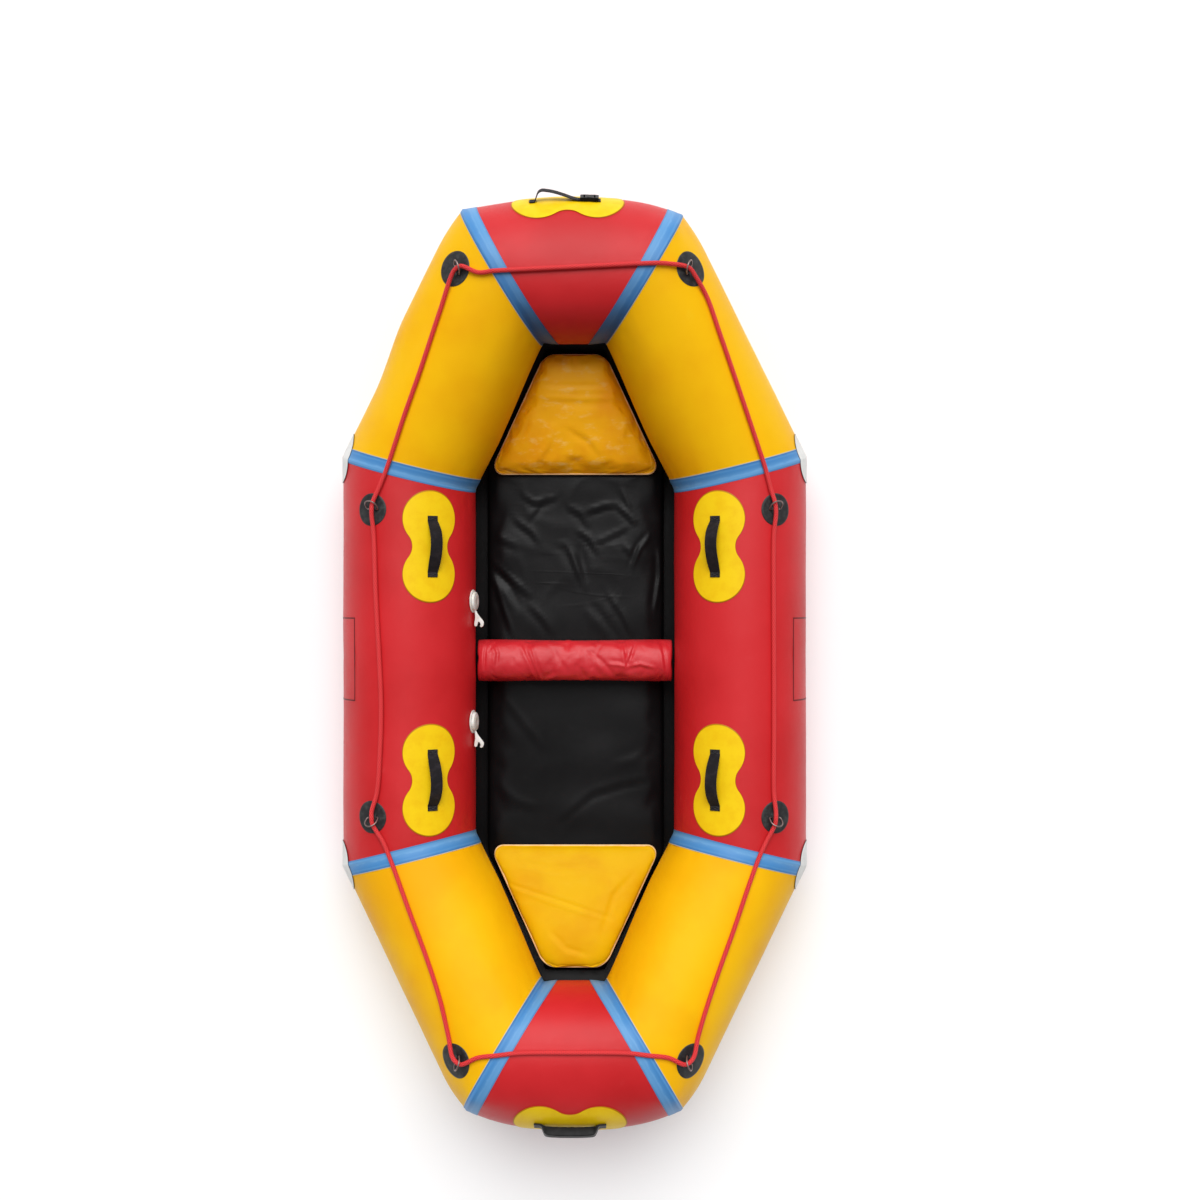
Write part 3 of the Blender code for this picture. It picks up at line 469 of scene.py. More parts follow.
def darkCloth(name, crumpled):
    bench = Finish(name, Specular_IOR_Level=0.16)
    where = bench.place()
    patches, dustAndSheen, grain = bench.clouds((5.0, 4.0, 0.6), (24.0, 5.0, 0.7), (420.0, 2.0, 0.5))
    colour = bench.tinted(patches, 0.3, 0.7, tone(0.0036, 0.0034, 0.0036), tone(0.006, 0.0058, 0.0062))
    # the lighter patches are partly real dust and partly painted sheen on the dark cloth
    colour = bench.tinted(dustAndSheen, 0.6, 0.8, colour, tone(0.016, 0.016, 0.018), 0.25)
    rough = 0.3 + patches * 0.1 + bench.spread(dustAndSheen, 0.5, 0.8, 0.0, 0.12)
    height = weave(bench, where, 0.0016) * 0.08 + grain * 0.1 + dustAndSheen * 0.3
    if crumpled:    # fine folds that lie two ways, more of them in the bow half
        folds = 0.0
        for turn, stretch in ((radians(62), (3.2, 13.0, 4.0)), (radians(-28), (4.0, 15.0, 5.0))):
            wave = bench.cloud(where, 1.0, 1.0, 0.4, stretch, turn, 0.6)
            away = bench.sum("ABSOLUTE", wave - 0.5)
            folds = folds + (1 - bench.spread(away, 0.0, 0.05)) * bench.spread(patches, 0.45, 0.7)
        height = height + folds * bench.spread(bench.parts(where)[1], -0.25, 0.3, 0.1, 0.7)
    return bench.dress(colour, rough, height, 0.5, 0.0006)


blackCloth = darkCloth("black floor cloth", False)
mattressCloth = darkCloth("black mattress cloth", True)


def cushionCloth(name, base, deep, pale, roughness, shine, sheenShare=0.25):
    bench = Finish(name, Specular_IOR_Level=shine)
    patches, grain, paleSheen = bench.clouds((9.0, 3.0, 0.55), (260.0, 3.0, 0.6), (22.0, 4.0, 0.6, (1.0, 2.2, 1.0)))
    colour = bench.tinted(patches, 0.35, 0.7, base, deep)
    # painted highlight: the pale tone in these smears stands in for sheen on the folds; the same smears also raise
    # the bump
    colour = bench.tinted(paleSheen, 0.52, 0.78, colour, pale, sheenShare)
    rough = roughness - 0.05 + patches * 0.08 + grain * 0.06
    height = weave(bench, bench.place(), 0.0015) * 0.4 + grain * 0.7 + paleSheen * 3.0
    return bench.dress(colour, rough, height, 0.35, 0.0006)


# one pad cloth in a lit and a shaded copy: the bow pad's is painted brighter, with a larger share of painted
# highlight, to make up for the bow tube's shade; the stern pad's is painted darker
litAndShadedPadCloths = {
    "bow": cushionCloth("bow pad cloth painted brighter", tone(0.96, 0.46, 0.003), tone(0.9, 0.35, 0.002), tone(0.97, 0.64, 0.18),
                        0.36, 0.18, 0.6),
    "stern": cushionCloth("stern pad cloth painted darker", tone(0.78, 0.45, 0.002), tone(0.74, 0.38, 0.002),
                          tone(0.8, 0.5, 0.02), 0.4, 0.08),
}
thwartCloth = cushionCloth(
    "thwart cloth", tone(0.62, 0.022, 0.032), tone(0.54, 0.012, 0.02), tone(0.68, 0.08, 0.09), 0.3, 0.45
)


def strapWeb():
    bench = Finish("black webbing", Sheen_Weight=0.06, Sheen_Roughness=0.4, Specular_IOR_Level=0.3)
    u, v = bench.parts(bench.place("UV"))[:2]
    fuzz, worn = bench.clouds((500.0, 2.0, 0.6), (45.0, 4.0, 0.65))
    ribs = bench.sine(v * (2 * pi / 0.0022) + bench.wave(u, 0.0034) * 1.2)
    colour = bench.tinted(worn, 0.4, 0.75, tone(0.005, 0.004, 0.006), tone(0.02, 0.016, 0.021))
    rough = 0.62 + fuzz * 0.2 - bench.spread(worn, 0.5, 0.8, 0.0, 0.12)
    return bench.dress(colour, rough, ribs * 0.6 + bench.wave(u, 0.0017) * 0.3 + fuzz * 0.5, 0.6, 0.0005)


webbing = strapWeb()


def plaitedRope():
    bench = Finish("red plaited rope", Specular_IOR_Level=0.4)
    u, v = bench.parts(bench.place("UV"))[:2]
    fuzz, worn = bench.clouds((700.0, 2.0, 0.6), (26.0, 4.0, 0.6))
    around, along = u * (pi * 6 / 0.0314), v * (pi / 0.0095)    # six strands round, a turn every 9.5 mm
    left, right = bench.sine(around + along), bench.sine(around - along)
    plait = bench.sum("MAXIMUM", left * left, right * right)
    # painted shade and highlight: the rope's colour is darker in the grooves between strands and lighter on the
    # strand crowns
    colour = bench.tinted(plait, 0.35, 0.95, tone(0.48, 0.012, 0.014), tone(0.84, 0.04, 0.045))
    colour = bench.tinted(worn, 0.55, 0.8, colour, tone(0.66, 0.05, 0.03), 0.3)
    return bench.dress(colour, 0.55 + fuzz * 0.2, plait * 1.6 + fuzz * 0.4, 0.8, 0.0007)


redRope = plaitedRope()


def pipingCloth():
    bench = Finish("pad piping", Specular_IOR_Level=0.5)
    u, v = bench.parts(bench.place("UV"))[:2]
    soil, = bench.clouds((50.0, 4.0, 0.6))
    rings = bench.sine(v * (2 * pi / 0.0021) + u * 900)
    colour = bench.tinted(soil, 0.35, 0.75, tone(0.93, 0.62, 0.3), tone(0.82, 0.46, 0.16))
    return bench.dress(colour, 0.36 + soil * 0.2, rings + soil, 0.3, 0.0003)


padPiping = pipingCloth()


# plain finishes: a mottle and a grain, two tones with the mottle's turn from one to the other, how rough the
# surface is with what mottle and grain add, what each gives the height, and the bump's strength and depth
def plainFinish(name, mottle, grain, turn, tones, rough, height, bump, rim=None, **shaderValues):
    bench = Finish(name, **shaderValues)
    mottle, grain = bench.clouds(mottle, grain)
    colour = bench.tinted(mottle, *turn, *tones)
    if rim:    # a rim tone round a flat patch's edge, by the layout's share of its reach
        low, high, rimTone = rim
        reach = bench.parts(bench.place("UV"))[0]
        colour = bench.tinted(reach + (mottle - 0.5) * 0.004, low, high, colour, rimTone)
    rough = rough[0] + mottle * rough[1] + grain * rough[2]
    return bench.dress(colour, rough, mottle * height[0] + grain * height[1], *bump)


def edgedPatch(name, base, deep, rim):
    return plainFinish(name, (30.0, 4.0, 0.6), (240.0, 3.0, 0.6), (0.35, 0.75), (base, deep), (0.34, 0.16, 0.0),
                       (1.0, 0.8), (0.3, 0.0004), rim, Specular_IOR_Level=0.15)


patchRubber = plainFinish(
    "patch rubber", (70.0, 4.0, 0.7), (600.0, 2.0, 0.5), (0.42, 0.72),
    (tone(0.008, 0.008, 0.009), tone(0.04, 0.042, 0.041)), (0.42, 0.22, 0.0), (1.0, 0.5), (0.4, 0.0004),
    Specular_IOR_Level=0.5,
)
blackMoulding = plainFinish(
    "black moulding", (60.0, 4.0, 0.6), (900.0, 2.0, 0.5), (0.4, 0.75),
    (tone(0.005, 0.005, 0.005), tone(0.016, 0.016, 0.017)), (0.3, 0.16, 0.0), (1.0, 0.6), (0.25, 0.0003),
    Specular_IOR_Level=0.1,
)
# painted reflection: the steel's pinkish tint stands in for the red tubes and rope that it reflects
ringSteel = plainFinish(
    "ring steel with painted red reflection", (90.0, 3.0, 0.6), (320.0, 3.0, 0.6), (0.4, 0.75),
    (tone(0.34, 0.26, 0.25), tone(0.22, 0.15, 0.14)), (0.3, 0.2, 0.06), (0.0, 1.0), (0.12, 0.0002), Metallic=1.0,
)
whitePlastic = plainFinish(
    "valve plastic", (70.0, 4.0, 0.6), (800.0, 2.0, 0.5), (0.4, 0.75),
    (tone(0.84, 0.82, 0.77), tone(0.66, 0.62, 0.56)), (0.28, 0.2, 0.0), (1.0, 0.5), (0.2, 0.0003),
    Specular_IOR_Level=0.5, Subsurface_Weight=0.06,
)
stitchThread = plainFinish(
    "stitch thread", (900.0, 3.0, 0.6), (900.0, 3.0, 0.6), (0.3, 0.7),
    (tone(0.03, 0.03, 0.032), tone(0.1, 0.1, 0.1)), (0.5, 0.2, 0.0), (1.0, 0.0), (0.5, 0.0002),
)
yellowPatch = edgedPatch("yellow handle patch", tone(0.93, 0.62, 0.006), tone(0.88, 0.54, 0.003),
                         (0.97, 0.988, tone(0.45, 0.19, 0.002)))
bareWhite = edgedPatch("bare corner disc", tone(0.8, 0.8, 0.78), tone(0.7, 0.7, 0.68),
                       (0.972, 0.984, tone(0.06, 0.05, 0.05)))
frameInk = edgedPatch("frame ink", tone(0.15, 0.01, 0.012), tone(0.1, 0.006, 0.008), None)
print("materials")


# where things are glued on the hull: the bow-left quarter, in plan or by angle
ringSeat = {
    "patch": {"side": 0.04, "corner": 0.0432}, "patchTop": 0.002008, "sideY": 0.3765, "sideAngle": radians(26.5),
    "sideShift": 0.006, "sideTurn": radians(4), "cornerX": 0.282, "cornerY": 0.946, "cornerShift": 0.011,
    "cornerTurn": radians(27), "wire": 0.0018, "halfWidth": 0.016, "straight": 0.012, "corner": 0.0045,
    "lean": radians(46), "keeperWidth": 0.02, "keeperFoot": 0.013, "keeperFloor": 0.0004,
}
ringSeat["bar"] = ringSeat["wire"] + hull["gap"] + ringSeat["keeperFloor"]
cornerAlong, cornerAngle = spotOver(slantRun, -ringSeat["cornerX"], ringSeat["cornerY"], hull["radius"])
handle = {"y": 0.286, "angle": radians(-24.5), "bowX": -0.014, "bowAngle": radians(71), "sternX": -0.008,
          "sternAngle": radians(65), "length": 0.276, "lobe": 0.069, "waist": 0.0455, "top": 0.001973,
          "thickness": 0.001, "rim": 0.015, "rimDrop": 0.0009}
valve = {"y": 0.152, "angle": radians(-78)}
quarters = [(end, side) for end in ("bow", "stern") for side in ("left", "right")]


def frameFrom(origin, xWay, yWay, zWay):
    return Matrix.Translation(origin) @ Matrix((xWay, yWay, zWay)).transposed().to_4x4()


def seatFrame(run, along, angle, shift, ropeTurn, end, side):
    keeperAngle = angle - shift / hull["radius"]
    centre = toQuarter(hullPoint(run, along, keeperAngle, hull["radius"] + ringSeat["patchTop"]), end, side)
    spoke = toQuarter(run.spoke(keeperAngle), end, side)
    sideways = run.spoke(keeperAngle - pi / 2)
    ropeWay = toQuarter(run.axis * cos(ropeTurn) + sideways * sin(ropeTurn), end, side)
    return frameFrom(centre, ropeWay, spoke.cross(ropeWay), spoke)


seats = {}
for end, side in quarters:
    seats[f"{end}_{side}_side"] = seatFrame(
        sideRun, ringSeat["sideY"], ringSeat["sideAngle"], ringSeat["sideShift"], ringSeat["sideTurn"], end, side
    )
    seats[f"{end}_{side}_corner"] = seatFrame(
        slantRun, cornerAlong, cornerAngle, ringSeat["cornerShift"], ringSeat["cornerTurn"], end, side
    )
    calmSpots.append(toQuarter(hullPoint(sideRun, handle["y"], handle["angle"]), end, side))
calmSpots += [seat.translation for seat in seats.values()]
for end in ("bow", "stern"):
    calmSpots.append(toQuarter(hullPoint(sideRun, valve["y"], valve["angle"]), end, "left"))
for x, angle, end in ((handle["bowX"], handle["bowAngle"], "bow"), (handle["sternX"], handle["sternAngle"], "stern")):
    calmSpots.append(toQuarter(hullPoint(endRun, x, angle), end, "left"))


# a round bar swept along a closed path, with its layout in metres round and along
def sweptLoop(points, radius, around, reference=upward):
    count = len(points)
    ways = [(points[(i + 1) % count] - points[i - 1]).normalized() for i in range(count)]
    runLength = sum((points[i] - points[i - 1]).length for i in range(count))

    def place(u, v):
        index = round(v * count) % count
        sideways = ways[index].cross(reference).normalized()
        rise = sideways.cross(ways[index])
        turn = 2 * pi * u
        return points[index] + (sideways * cos(turn) + rise * sin(turn)) * radius

    piece = laidGrid(around, count, place, lambda u, v: (u * 2 * pi * radius, v * runLength))
    tidyMesh(piece, 2e-5)
    return piece


# grab line: one rope through the eight rings, lying on the tubes, its route listed in plan
grabLine = {"radius": 0.0054, "lift": 0.0017, "step": 0.0045, "around": 16, "ringRise": 0.006,
            "ringReach": 0.015, "ringLift": 0.0028, "sideBend": 0.6, "cornerBend": 13.0}
overBow = ((-0.223, 0.929), (-0.1865, 0.931), (-0.15, 0.9328), (-0.06, 0.9372), (0.05, 0.9426),
           (0.148, 0.9474), (0.1865, 0.949), (0.225, 0.9498))
bowRight = ((0.318, 0.885), (0.3521, 0.795), (0.405, 0.65), (0.45, 0.525), (0.467, 0.476),
            (0.48, 0.428))
alongRight = ((0.4885, 0.315), (0.4878, 0.17), (0.4887, 0.0), (0.4887, -0.17), (0.4885, -0.315))
sternRight = ((0.469, -0.4345), (0.45, -0.4745), (0.424, -0.54), (0.387, -0.64), (0.348, -0.74),
              (0.314, -0.835), (0.298, -0.888))
overStern = ((0.225, -0.927), (0.1765, -0.919), (0.13, -0.914), (0.0, -0.9128), (-0.13, -0.914),
             (-0.1765, -0.919), (-0.225, -0.927))
sternLeft = ((-0.298, -0.885), (-0.319, -0.8), (-0.3511, -0.7088), (-0.4, -0.59), (-0.431, -0.513),
             (-0.447, -0.4745), (-0.465, -0.4341))
alongLeft = ((-0.48, -0.315), (-0.472, -0.21), (-0.4695, -0.1), (-0.4746, 0.02), (-0.483, 0.17),
             (-0.4885, 0.315))
bowLeft = ((-0.472, 0.4351), (-0.456, 0.4735), (-0.437, 0.525), (-0.412, 0.595), (-0.3687, 0.708),
           (-0.318, 0.85))


def smoothLoop(points, step):    # a curve that keeps its bends tight where the points lie close together
    count = len(points)
    line = []
    for index in range(count):
        four = [points[(index + shift) % count] for shift in (-1, 0, 1, 2)]
        times = [0.0]
        for first, second in zip(four, four[1:]):
            times.append(times[-1] + sqrt((second - first).length))
        pieces = max(1, ceil((four[2] - four[1]).length / step))
        for part in range(pieces):
            t = times[1] + (times[2] - times[1]) * part / pieces
            level = four
            for span in (1, 2):
                level = [a.lerp(b, (t - times[i]) / (times[i + span] - times[i])) for i, (a, b) in
                         enumerate(zip(level, level[1:]))]
            line.append(level[0].lerp(level[1], (t - times[1]) / (times[2] - times[1])))
    return line


def ropeThrough(seat, bend, backwards):
    spoke = seat.to_3x3().col[2]
    inboard = seat.to_3x3().col[1]
    if inboard.xy.dot(seat.translation.xy) > 0:
        inboard = -inboard
    height = hull["radius"] + grabLine["ringLift"] + grabLine["radius"]
    points = []
    for share in (-1.0, 0.0, 1.0):
        reach = share * grabLine["ringReach"]
        flat = seat @ Vector((reach, 0, 0)) + inboard * (bend * reach ** 2)
        fade = 1 - 0.25 * share ** 2
        points.append(hullTop(flat.x, flat.y, height) + spoke * (grabLine["ringRise"] * fade))
    return points[::-1] if backwards else points


def layGrabLine():
    stretches = (
        (overBow, "bow_right_corner", grabLine["cornerBend"], True),
        (bowRight, "bow_right_side", grabLine["sideBend"], True),
        (alongRight, "stern_right_side", grabLine["sideBend"], False),
        (sternRight, "stern_right_corner", grabLine["cornerBend"], False),
        (overStern, "stern_left_corner", grabLine["cornerBend"], True),
        (sternLeft, "stern_left_side", grabLine["sideBend"], True),
        (alongLeft, "bow_left_side", grabLine["sideBend"], False),
        (bowLeft, "bow_left_corner", grabLine["cornerBend"], False),
    )
    height = hull["radius"] + grabLine["lift"] + grabLine["radius"]
    route = []
    for places, spot, bend, backwards in stretches:
        route += [hullTop(x, y, height) for x, y in places]
        route += ropeThrough(seats[spot], bend, backwards)
    line = []
    for point in smoothLoop(route, grabLine["step"]):    # never lower than the tube that it lies on
        point.z = max(point.z, hullTop(point.x, point.y, height).z)
        line.append(point + upward * skinLift(point))
    rope = sweptLoop(line, grabLine["radius"], grabLine["around"])
    finishPiece(rope, "grabRope", redRope, "hull", ["grab_line"])
    print("grab line, metres:", round(sum((line[i] - line[i - 1]).length for i in range(len(line))), 3))


layGrabLine()


# tubes: long sleeves cut off at the seam planes, then blown out to the skin's own swell
tubeLook = {"facets": 120, "cuts": 60, "blank": 1.6, "crowd": 0.72, "evened": 0.06, "pucker": 0.0023,
            "puckerGap": 0.017, "puckerRise": 0.012, "puckerReach": 0.075, "puckers": 15, "outerPucker": 0.35,
            "crease": 0.0019, "creaseWidth": 0.0045, "creases": (0.021, -0.006, -0.031)}


def mirroredY(vector):
    return Vector((vector.x, -vector.y, vector.z))


def mirroredX(vector):
    return Vector((-vector.x, vector.y, vector.z))


halfGap = hull["gap"] / 2
sleeveCuts = {
    "side": ((sideCorner - sidePlane * halfGap, sidePlane),
             (mirroredY(sideCorner - sidePlane * halfGap), mirroredY(sidePlane))),
    "slant": ((sideCorner + sidePlane * halfGap, -sidePlane), (endCorner - endPlane * halfGap, endPlane)),
    "end": ((endCorner + endPlane * halfGap, -endPlane),
            (mirroredX(endCorner + endPlane * halfGap), mirroredX(-endPlane))),
}


def sleeveEnds(kind, run, angle):
    first, second = (run.meets(corner, normal, angle) for corner, normal in sleeveCuts[kind])
    return min(first, second), max(first, second)


def coreOf(run, end, side):    # the tube's own axis beside a place
    def core(place):
        home = toQuarter(place, end, side)
        return toQuarter(run.start + run.axis * run.axis.dot(home - run.start), end, side)
    return core


def faceAway(piece, core):    # turns the faces outward if they look at the core
    outward = sum(face.area * face.normal.dot(face.center - core(face.center)) for face in piece.data.polygons)
    if outward < 0:
        openEdit(piece, everything=True)
        bpy.ops.mesh.flip_normals()
        closeEdit()


def puckerAt(kind, run, along, angle, seed):
    near = min(abs(along - end) for end in sleeveEnds(kind, run, angle))
    past = near - tubeLook["puckerGap"]
    if past <= 0:
        return 0.0
    fade = min(1.0, past / tubeLook["puckerRise"]) * exp(-past / tubeLook["puckerReach"] * 2.6)
    lane = angle * tubeLook["puckers"] + 2.2 * noise.noise(Vector((angle * 2.5, seed, near * 9)))
    inner = tubeLook["outerPucker"] + (1 - tubeLook["outerPucker"]) * max(0.0, -sin(angle))
    return -tubeLook["pucker"] * fade * inner * max(0.0, sin(lane)) ** 3


def creaseAt(kind, along, angle):
    if kind != "side":
        return 0.0
    depth = 0.0
    for index, place in enumerate(tubeLook["creases"]):
        middle = place + 0.004 * noise.noise(Vector((angle * 1.7, index * 3.1, 0)))
        strength = 0.5 + 0.5 * noise.noise(Vector((angle * 1.1, index * 5.3, 2)))
        depth -= tubeLook["crease"] * strength * exp(-((along - middle) / tubeLook["creaseWidth"]) ** 2)
    return depth


def blowSleeve(name, kind, run, finish, end, side, node, seed):
    middle = run.start + run.axis * (0.3 if kind == "slant" else 0.0)
    bpy.ops.mesh.primitive_cylinder_add(
        vertices=tubeLook["facets"], radius=hull["radius"], depth=tubeLook["blank"], end_fill_type="NOTHING",
        location=middle, rotation=run.axis.to_track_quat("Z", "Y").to_euler(),
    )
    piece = bpy.context.object
    placeDown(piece)
    for corner, normal in sleeveCuts[kind]:
        openEdit(piece, everything=True)
        bpy.ops.mesh.bisect(plane_co=corner, plane_no=normal, clear_outer=True, threshold=1e-6)
        closeEdit()
    cutAcross(piece, run.axis, tubeLook["cuts"])

    def swell(co):
        along, angle = run.read(co)
        low, high = sleeveEnds(kind, run, angle)
        share = (along - low) / (high - low)
        share -= tubeLook["crowd"] * sin(2 * pi * share) / (2 * pi)    # rows crowd towards the seams
        if kind == "side":
            share += tubeLook["evened"] * sin(4 * pi * share) / pi
        along = low + (high - low) * share
        pinch = puckerAt(kind, run, along, angle, seed) + creaseAt(kind, along, angle)
        return onHull(run, along, angle, pinch, end, side)

    setLayout(piece, lambda co: (run.read(co)[1] * hull["radius"], run.read(co)[0]))
    movePoints(piece, swell)
    faceAway(piece, coreOf(run, end, side))
    thicken(piece, hull["wall"], -1)
    finishPiece(piece, name, finish, "hull", [node])


for seed, side in enumerate(("left", "right")):
    blowSleeve(f"{side}SideTube", "side", sideRun, redCloth, "bow", side, f"{side}_side_tube", seed)
for seed, end in enumerate(("bow", "stern")):
    blowSleeve(f"{end}Tube", "end", endRun, redCloth, end, "left", f"{end}_tube", seed + 3)
for seed, (end, side) in enumerate(quarters):
    blowSleeve(f"{end}{side.title()}SlantTube", "slant", slantRun, yellowCloth, end, side,
               f"{end}_{side}_diagonal_tube", seed + 6)
print("tubes")


# seam tapes: each turns over a seam from one tube to the next
tapeLook = {"thickness": 0.0008, "rimShare": 0.55, "bevel": 0.0012, "reach": radians(168),
            "ridge": 0.0005, "ridgeWidth": 0.003, "welt": 0.0001, "column": 0.002, "sideShift": 0.011,
            "endShift": {"bowLeft": 0.012, "bowRight": 0.016, "sternLeft": 0.008, "sternRight": 0.012}}
seams = {
    "side": (sideRun, slantRun, sideCorner, sidePlane),
    "end": (slantRun, endRun, endCorner, endPlane),
}


def onSeam(seam, step, angle, lift, end, side):    # step runs across the seam, from one tube on to the next
    before, after, corner, normal = seams[seam]
    run = before if step < 0 else after
    return onHull(run, run.meets(corner, normal, angle) + step, angle, lift, end, side)


def glueTape(seam, end, side):
    width = tapeWidths[seam]
    spread = 2 * tapeLook["reach"]
    shift = tapeLook["sideShift"] if seam == "side" else tapeLook["endShift"][end + side.title()]

    def place(u, v):
        step = (u - 0.5) * width + shift
        ridge = tapeLook["ridge"] * exp(-(step / tapeLook["ridgeWidth"]) ** 2)
        welt = tapeLook["welt"] * cos(step * 2 * pi / tapeLane)
        edge = min(1.0, (0.5 - abs(u - 0.5)) * width / tapeLook["bevel"])
        thickness = tapeLook["thickness"] * (tapeLook["rimShare"] + (1 - tapeLook["rimShare"]) * edge)
        lift = hull["gap"] + thickness + (ridge + welt) * edge
        return onSeam(seam, step, (v - 0.5) * spread, lift, end, side)

    def layout(u, v):
        return (v * spread * hull["radius"], (1 - u if seam == "side" else u) * width)

    # one line of points falls on the seam
    piece = laidGrid(round(width / tapeLook["column"]), 168, place, layout)
    faceAway(piece, coreOf(seams[seam][0], end, side))
    thicken(piece, tapeLook["thickness"] * tapeLook["rimShare"], -1)
    node = f"{end}_{side}_{seam}_tape"
    finishPiece(piece, f"{end}{side.title()}{seam.title()}Tape", tapeCloth[seam], "hull", [node])


for end, side in quarters:
    glueTape("side", end, side)
    glueTape("end", end, side)
print("tapes")


# floor sheet, glued under the tubes and rising to the ends
rampSlope = hull["rise"] / (hull["endY"] - hull["sideSeamY"])
rampAngle = atan2(rampSlope, 1)
rampDepth = hypot((hull["radius"] + hull["bulge"]) * sin(rampAngle), hull["radius"] * cos(rampAngle)) + hull["gap"]
rampStart = hull["sideSeamY"] + (hull["floor"] - axisZ + rampDepth / cos(rampAngle)) / rampSlope
floorEnd = hull["endY"] + rampDepth * sin(rampAngle)
floorTaper = hull["sideSeamY"] + rampDepth * sin(rampAngle)


def floorHeight(y):
    return hull["floor"] + max(0.0, abs(y) - rampStart) * rampSlope


def floorHalf(y):
    share = max(0.0, (abs(y) - floorTaper) / (floorEnd - floorTaper))
    return hull["sideX"] + (hull["endSeamX"] - hull["sideX"]) * share


def layFloor():
    def place(u, v):
        y = (2 * v - 1) * floorEnd
        return Vector(((2 * u - 1) * floorHalf(y), y, floorHeight(y)))

    piece = laidGrid(40, 96, place, lambda u, v: (u, v * 2))
    faceAway(piece, lambda place: place - upward)
    thicken(piece, hull["floor"], -1)
    finishPiece(piece, "floorSheet", blackCloth, "hull", ["floor_sheet"])
    2 * hypot(floorEnd - rampStart, floorHeight(floorEnd)) + 2 * rampStart


layFloor()


# bulkheads inside the side tubes, dished a little
dished = {"clearance": 0.0016, "rings": 4, "ring": 0.03, "dish": 0.0004, "thickness": 0.001}
for side in ("left", "right"):
    bpy.ops.mesh.primitive_circle_add(
        vertices=72, radius=hull["radius"] - hull["wall"] - dished["clearance"], fill_type="NGON",
        rotation=(pi / 2, 0, 0), location=(-hull["sideX"] if side == "left" else hull["sideX"], 0, axisZ),
    )
    bulkhead = bpy.context.object
    placeDown(bulkhead)
    openEdit(bulkhead, everything=True)
    for step in range(dished["rings"]):
        bpy.ops.mesh.inset(thickness=dished["ring"])
        bpy.ops.transform.translate(value=(0, dished["dish"], 0))
    bpy.ops.mesh.poke()
    closeEdit()
    thicken(bulkhead, dished["thickness"], 0)
    finishPiece(bulkhead, f"{side}Bulkhead", redCloth, "hull", [f"{side}_bulkhead"])
print("floor and bulkheads")


# soft goods: a finely cut box drawn to its crowned shape, blown up by a short cloth run, then creased along listed
# lines
def softBox(columns, rows, place):
    bpy.ops.mesh.primitive_cube_add(size=2, location=(0, 0, 0))
    piece = bpy.context.object
    cutAcross(piece, across, columns - 1)
    cutAcross(piece, forward, rows - 1)
    rim = [point.index for point in piece.data.vertices if max(abs(point.co.x), abs(point.co.y)) > 0.999]
    movePoints(piece, place)
    return piece, rim


clothRun = {"quality": 6, "mass": 0.25, "tension_stiffness": 25, "compression_stiffness": 25,
            "shear_stiffness": 12, "bending_stiffness": 0.6, "use_pressure": True}
clothSteps = 20


def puffUp(piece, rim, pressure, cap, slack):    # no point moves further than the cap
    start = [point.co.copy() for point in piece.data.vertices]
    held = piece.vertex_groups.new(name="rim")
    held.add(rim, 1.0, "REPLACE")
    pickOnly(piece)
    bpy.ops.object.modifier_add(type="CLOTH")
    cloth = piece.modifiers[-1]
    for setting, value in clothRun.items():
        setattr(cloth.settings, setting, value)
    cloth.settings.uniform_pressure_force = pressure
    cloth.settings.shrink_min = -slack
    cloth.settings.vertex_group_mass = held.name
    cloth.settings.effector_weights.gravity = 0
    cloth.collision_settings.use_collision = False
    for step in range(clothSteps):
        bpy.context.scene.frame_set(step + 1)
    bpy.ops.object.modifier_apply(modifier=cloth.name)
    bpy.context.scene.frame_set(1)
    for point, home in zip(piece.data.vertices, start):
        move = point.co - home
        if move.length > cap:
            point.co = home + move * (cap / move.length)
    piece.vertex_groups.clear()
    piece.data.update()


# a crease is a line in plan, its half width and how deep it goes; its far side stands up as a lip
creaseLip = {"share": 0.6, "away": 1.7, "width": 1.6}


def creaseDepth(spot, lines):
    total = 0.0
    for points, width, depth in lines:
        nearest = None
        walked = 0.0
        whole = sum(hypot(b[0] - a[0], b[1] - a[1]) for a, b in zip(points, points[1:]))
        for a, b in zip(points, points[1:]):
            leg = hypot(b[0] - a[0], b[1] - a[1])
            alongLeg = ((spot.x - a[0]) * (b[0] - a[0]) + (spot.y - a[1]) * (b[1] - a[1])) / leg
            kept = min(leg, max(0.0, alongLeg))
            footX = a[0] + (b[0] - a[0]) * kept / leg
            footY = a[1] + (b[1] - a[1]) * kept / leg
            away = hypot(spot.x - footX, spot.y - footY)
            sense = (spot.x - a[0]) * (b[1] - a[1]) - (spot.y - a[1]) * (b[0] - a[0])
            if nearest is None or away < nearest[0]:
                nearest = (away, 1 if sense > 0 else -1, (walked + kept) / whole)
            walked += leg
        away, sense, share = nearest
        if away > 6 * width:
            continue
        fade = sin(pi * min(1.0, max(0.0, share * 0.94 + 0.03))) ** 0.6
        signed = away * sense
        fromLip = (signed - creaseLip["away"] * width) / (creaseLip["width"] * width)
        lip = creaseLip["share"] * exp(-fromLip ** 2)
        total += depth * fade * (lip - exp(-(signed / width) ** 2))
    return total


def pressCreases(piece, lines, wander, wanderSize, stretch=(1, 1, 1), crinkle=lambda spot: 0.0):
    moves = []
    for point in piece.data.vertices:
        facing = max(0.0, point.normal.z)
        place = Vector((point.co.x * stretch[0], point.co.y * stretch[1], point.co.z * stretch[2]))
        drift = noise.noise(place * wanderSize) * wander
        moves.append(point.normal * ((creaseDepth(point.co, lines) + drift + crinkle(point.co)) * facing ** 0.5))
    for point, move in zip(piece.data.vertices, moves):
        point.co += move
    piece.data.update()


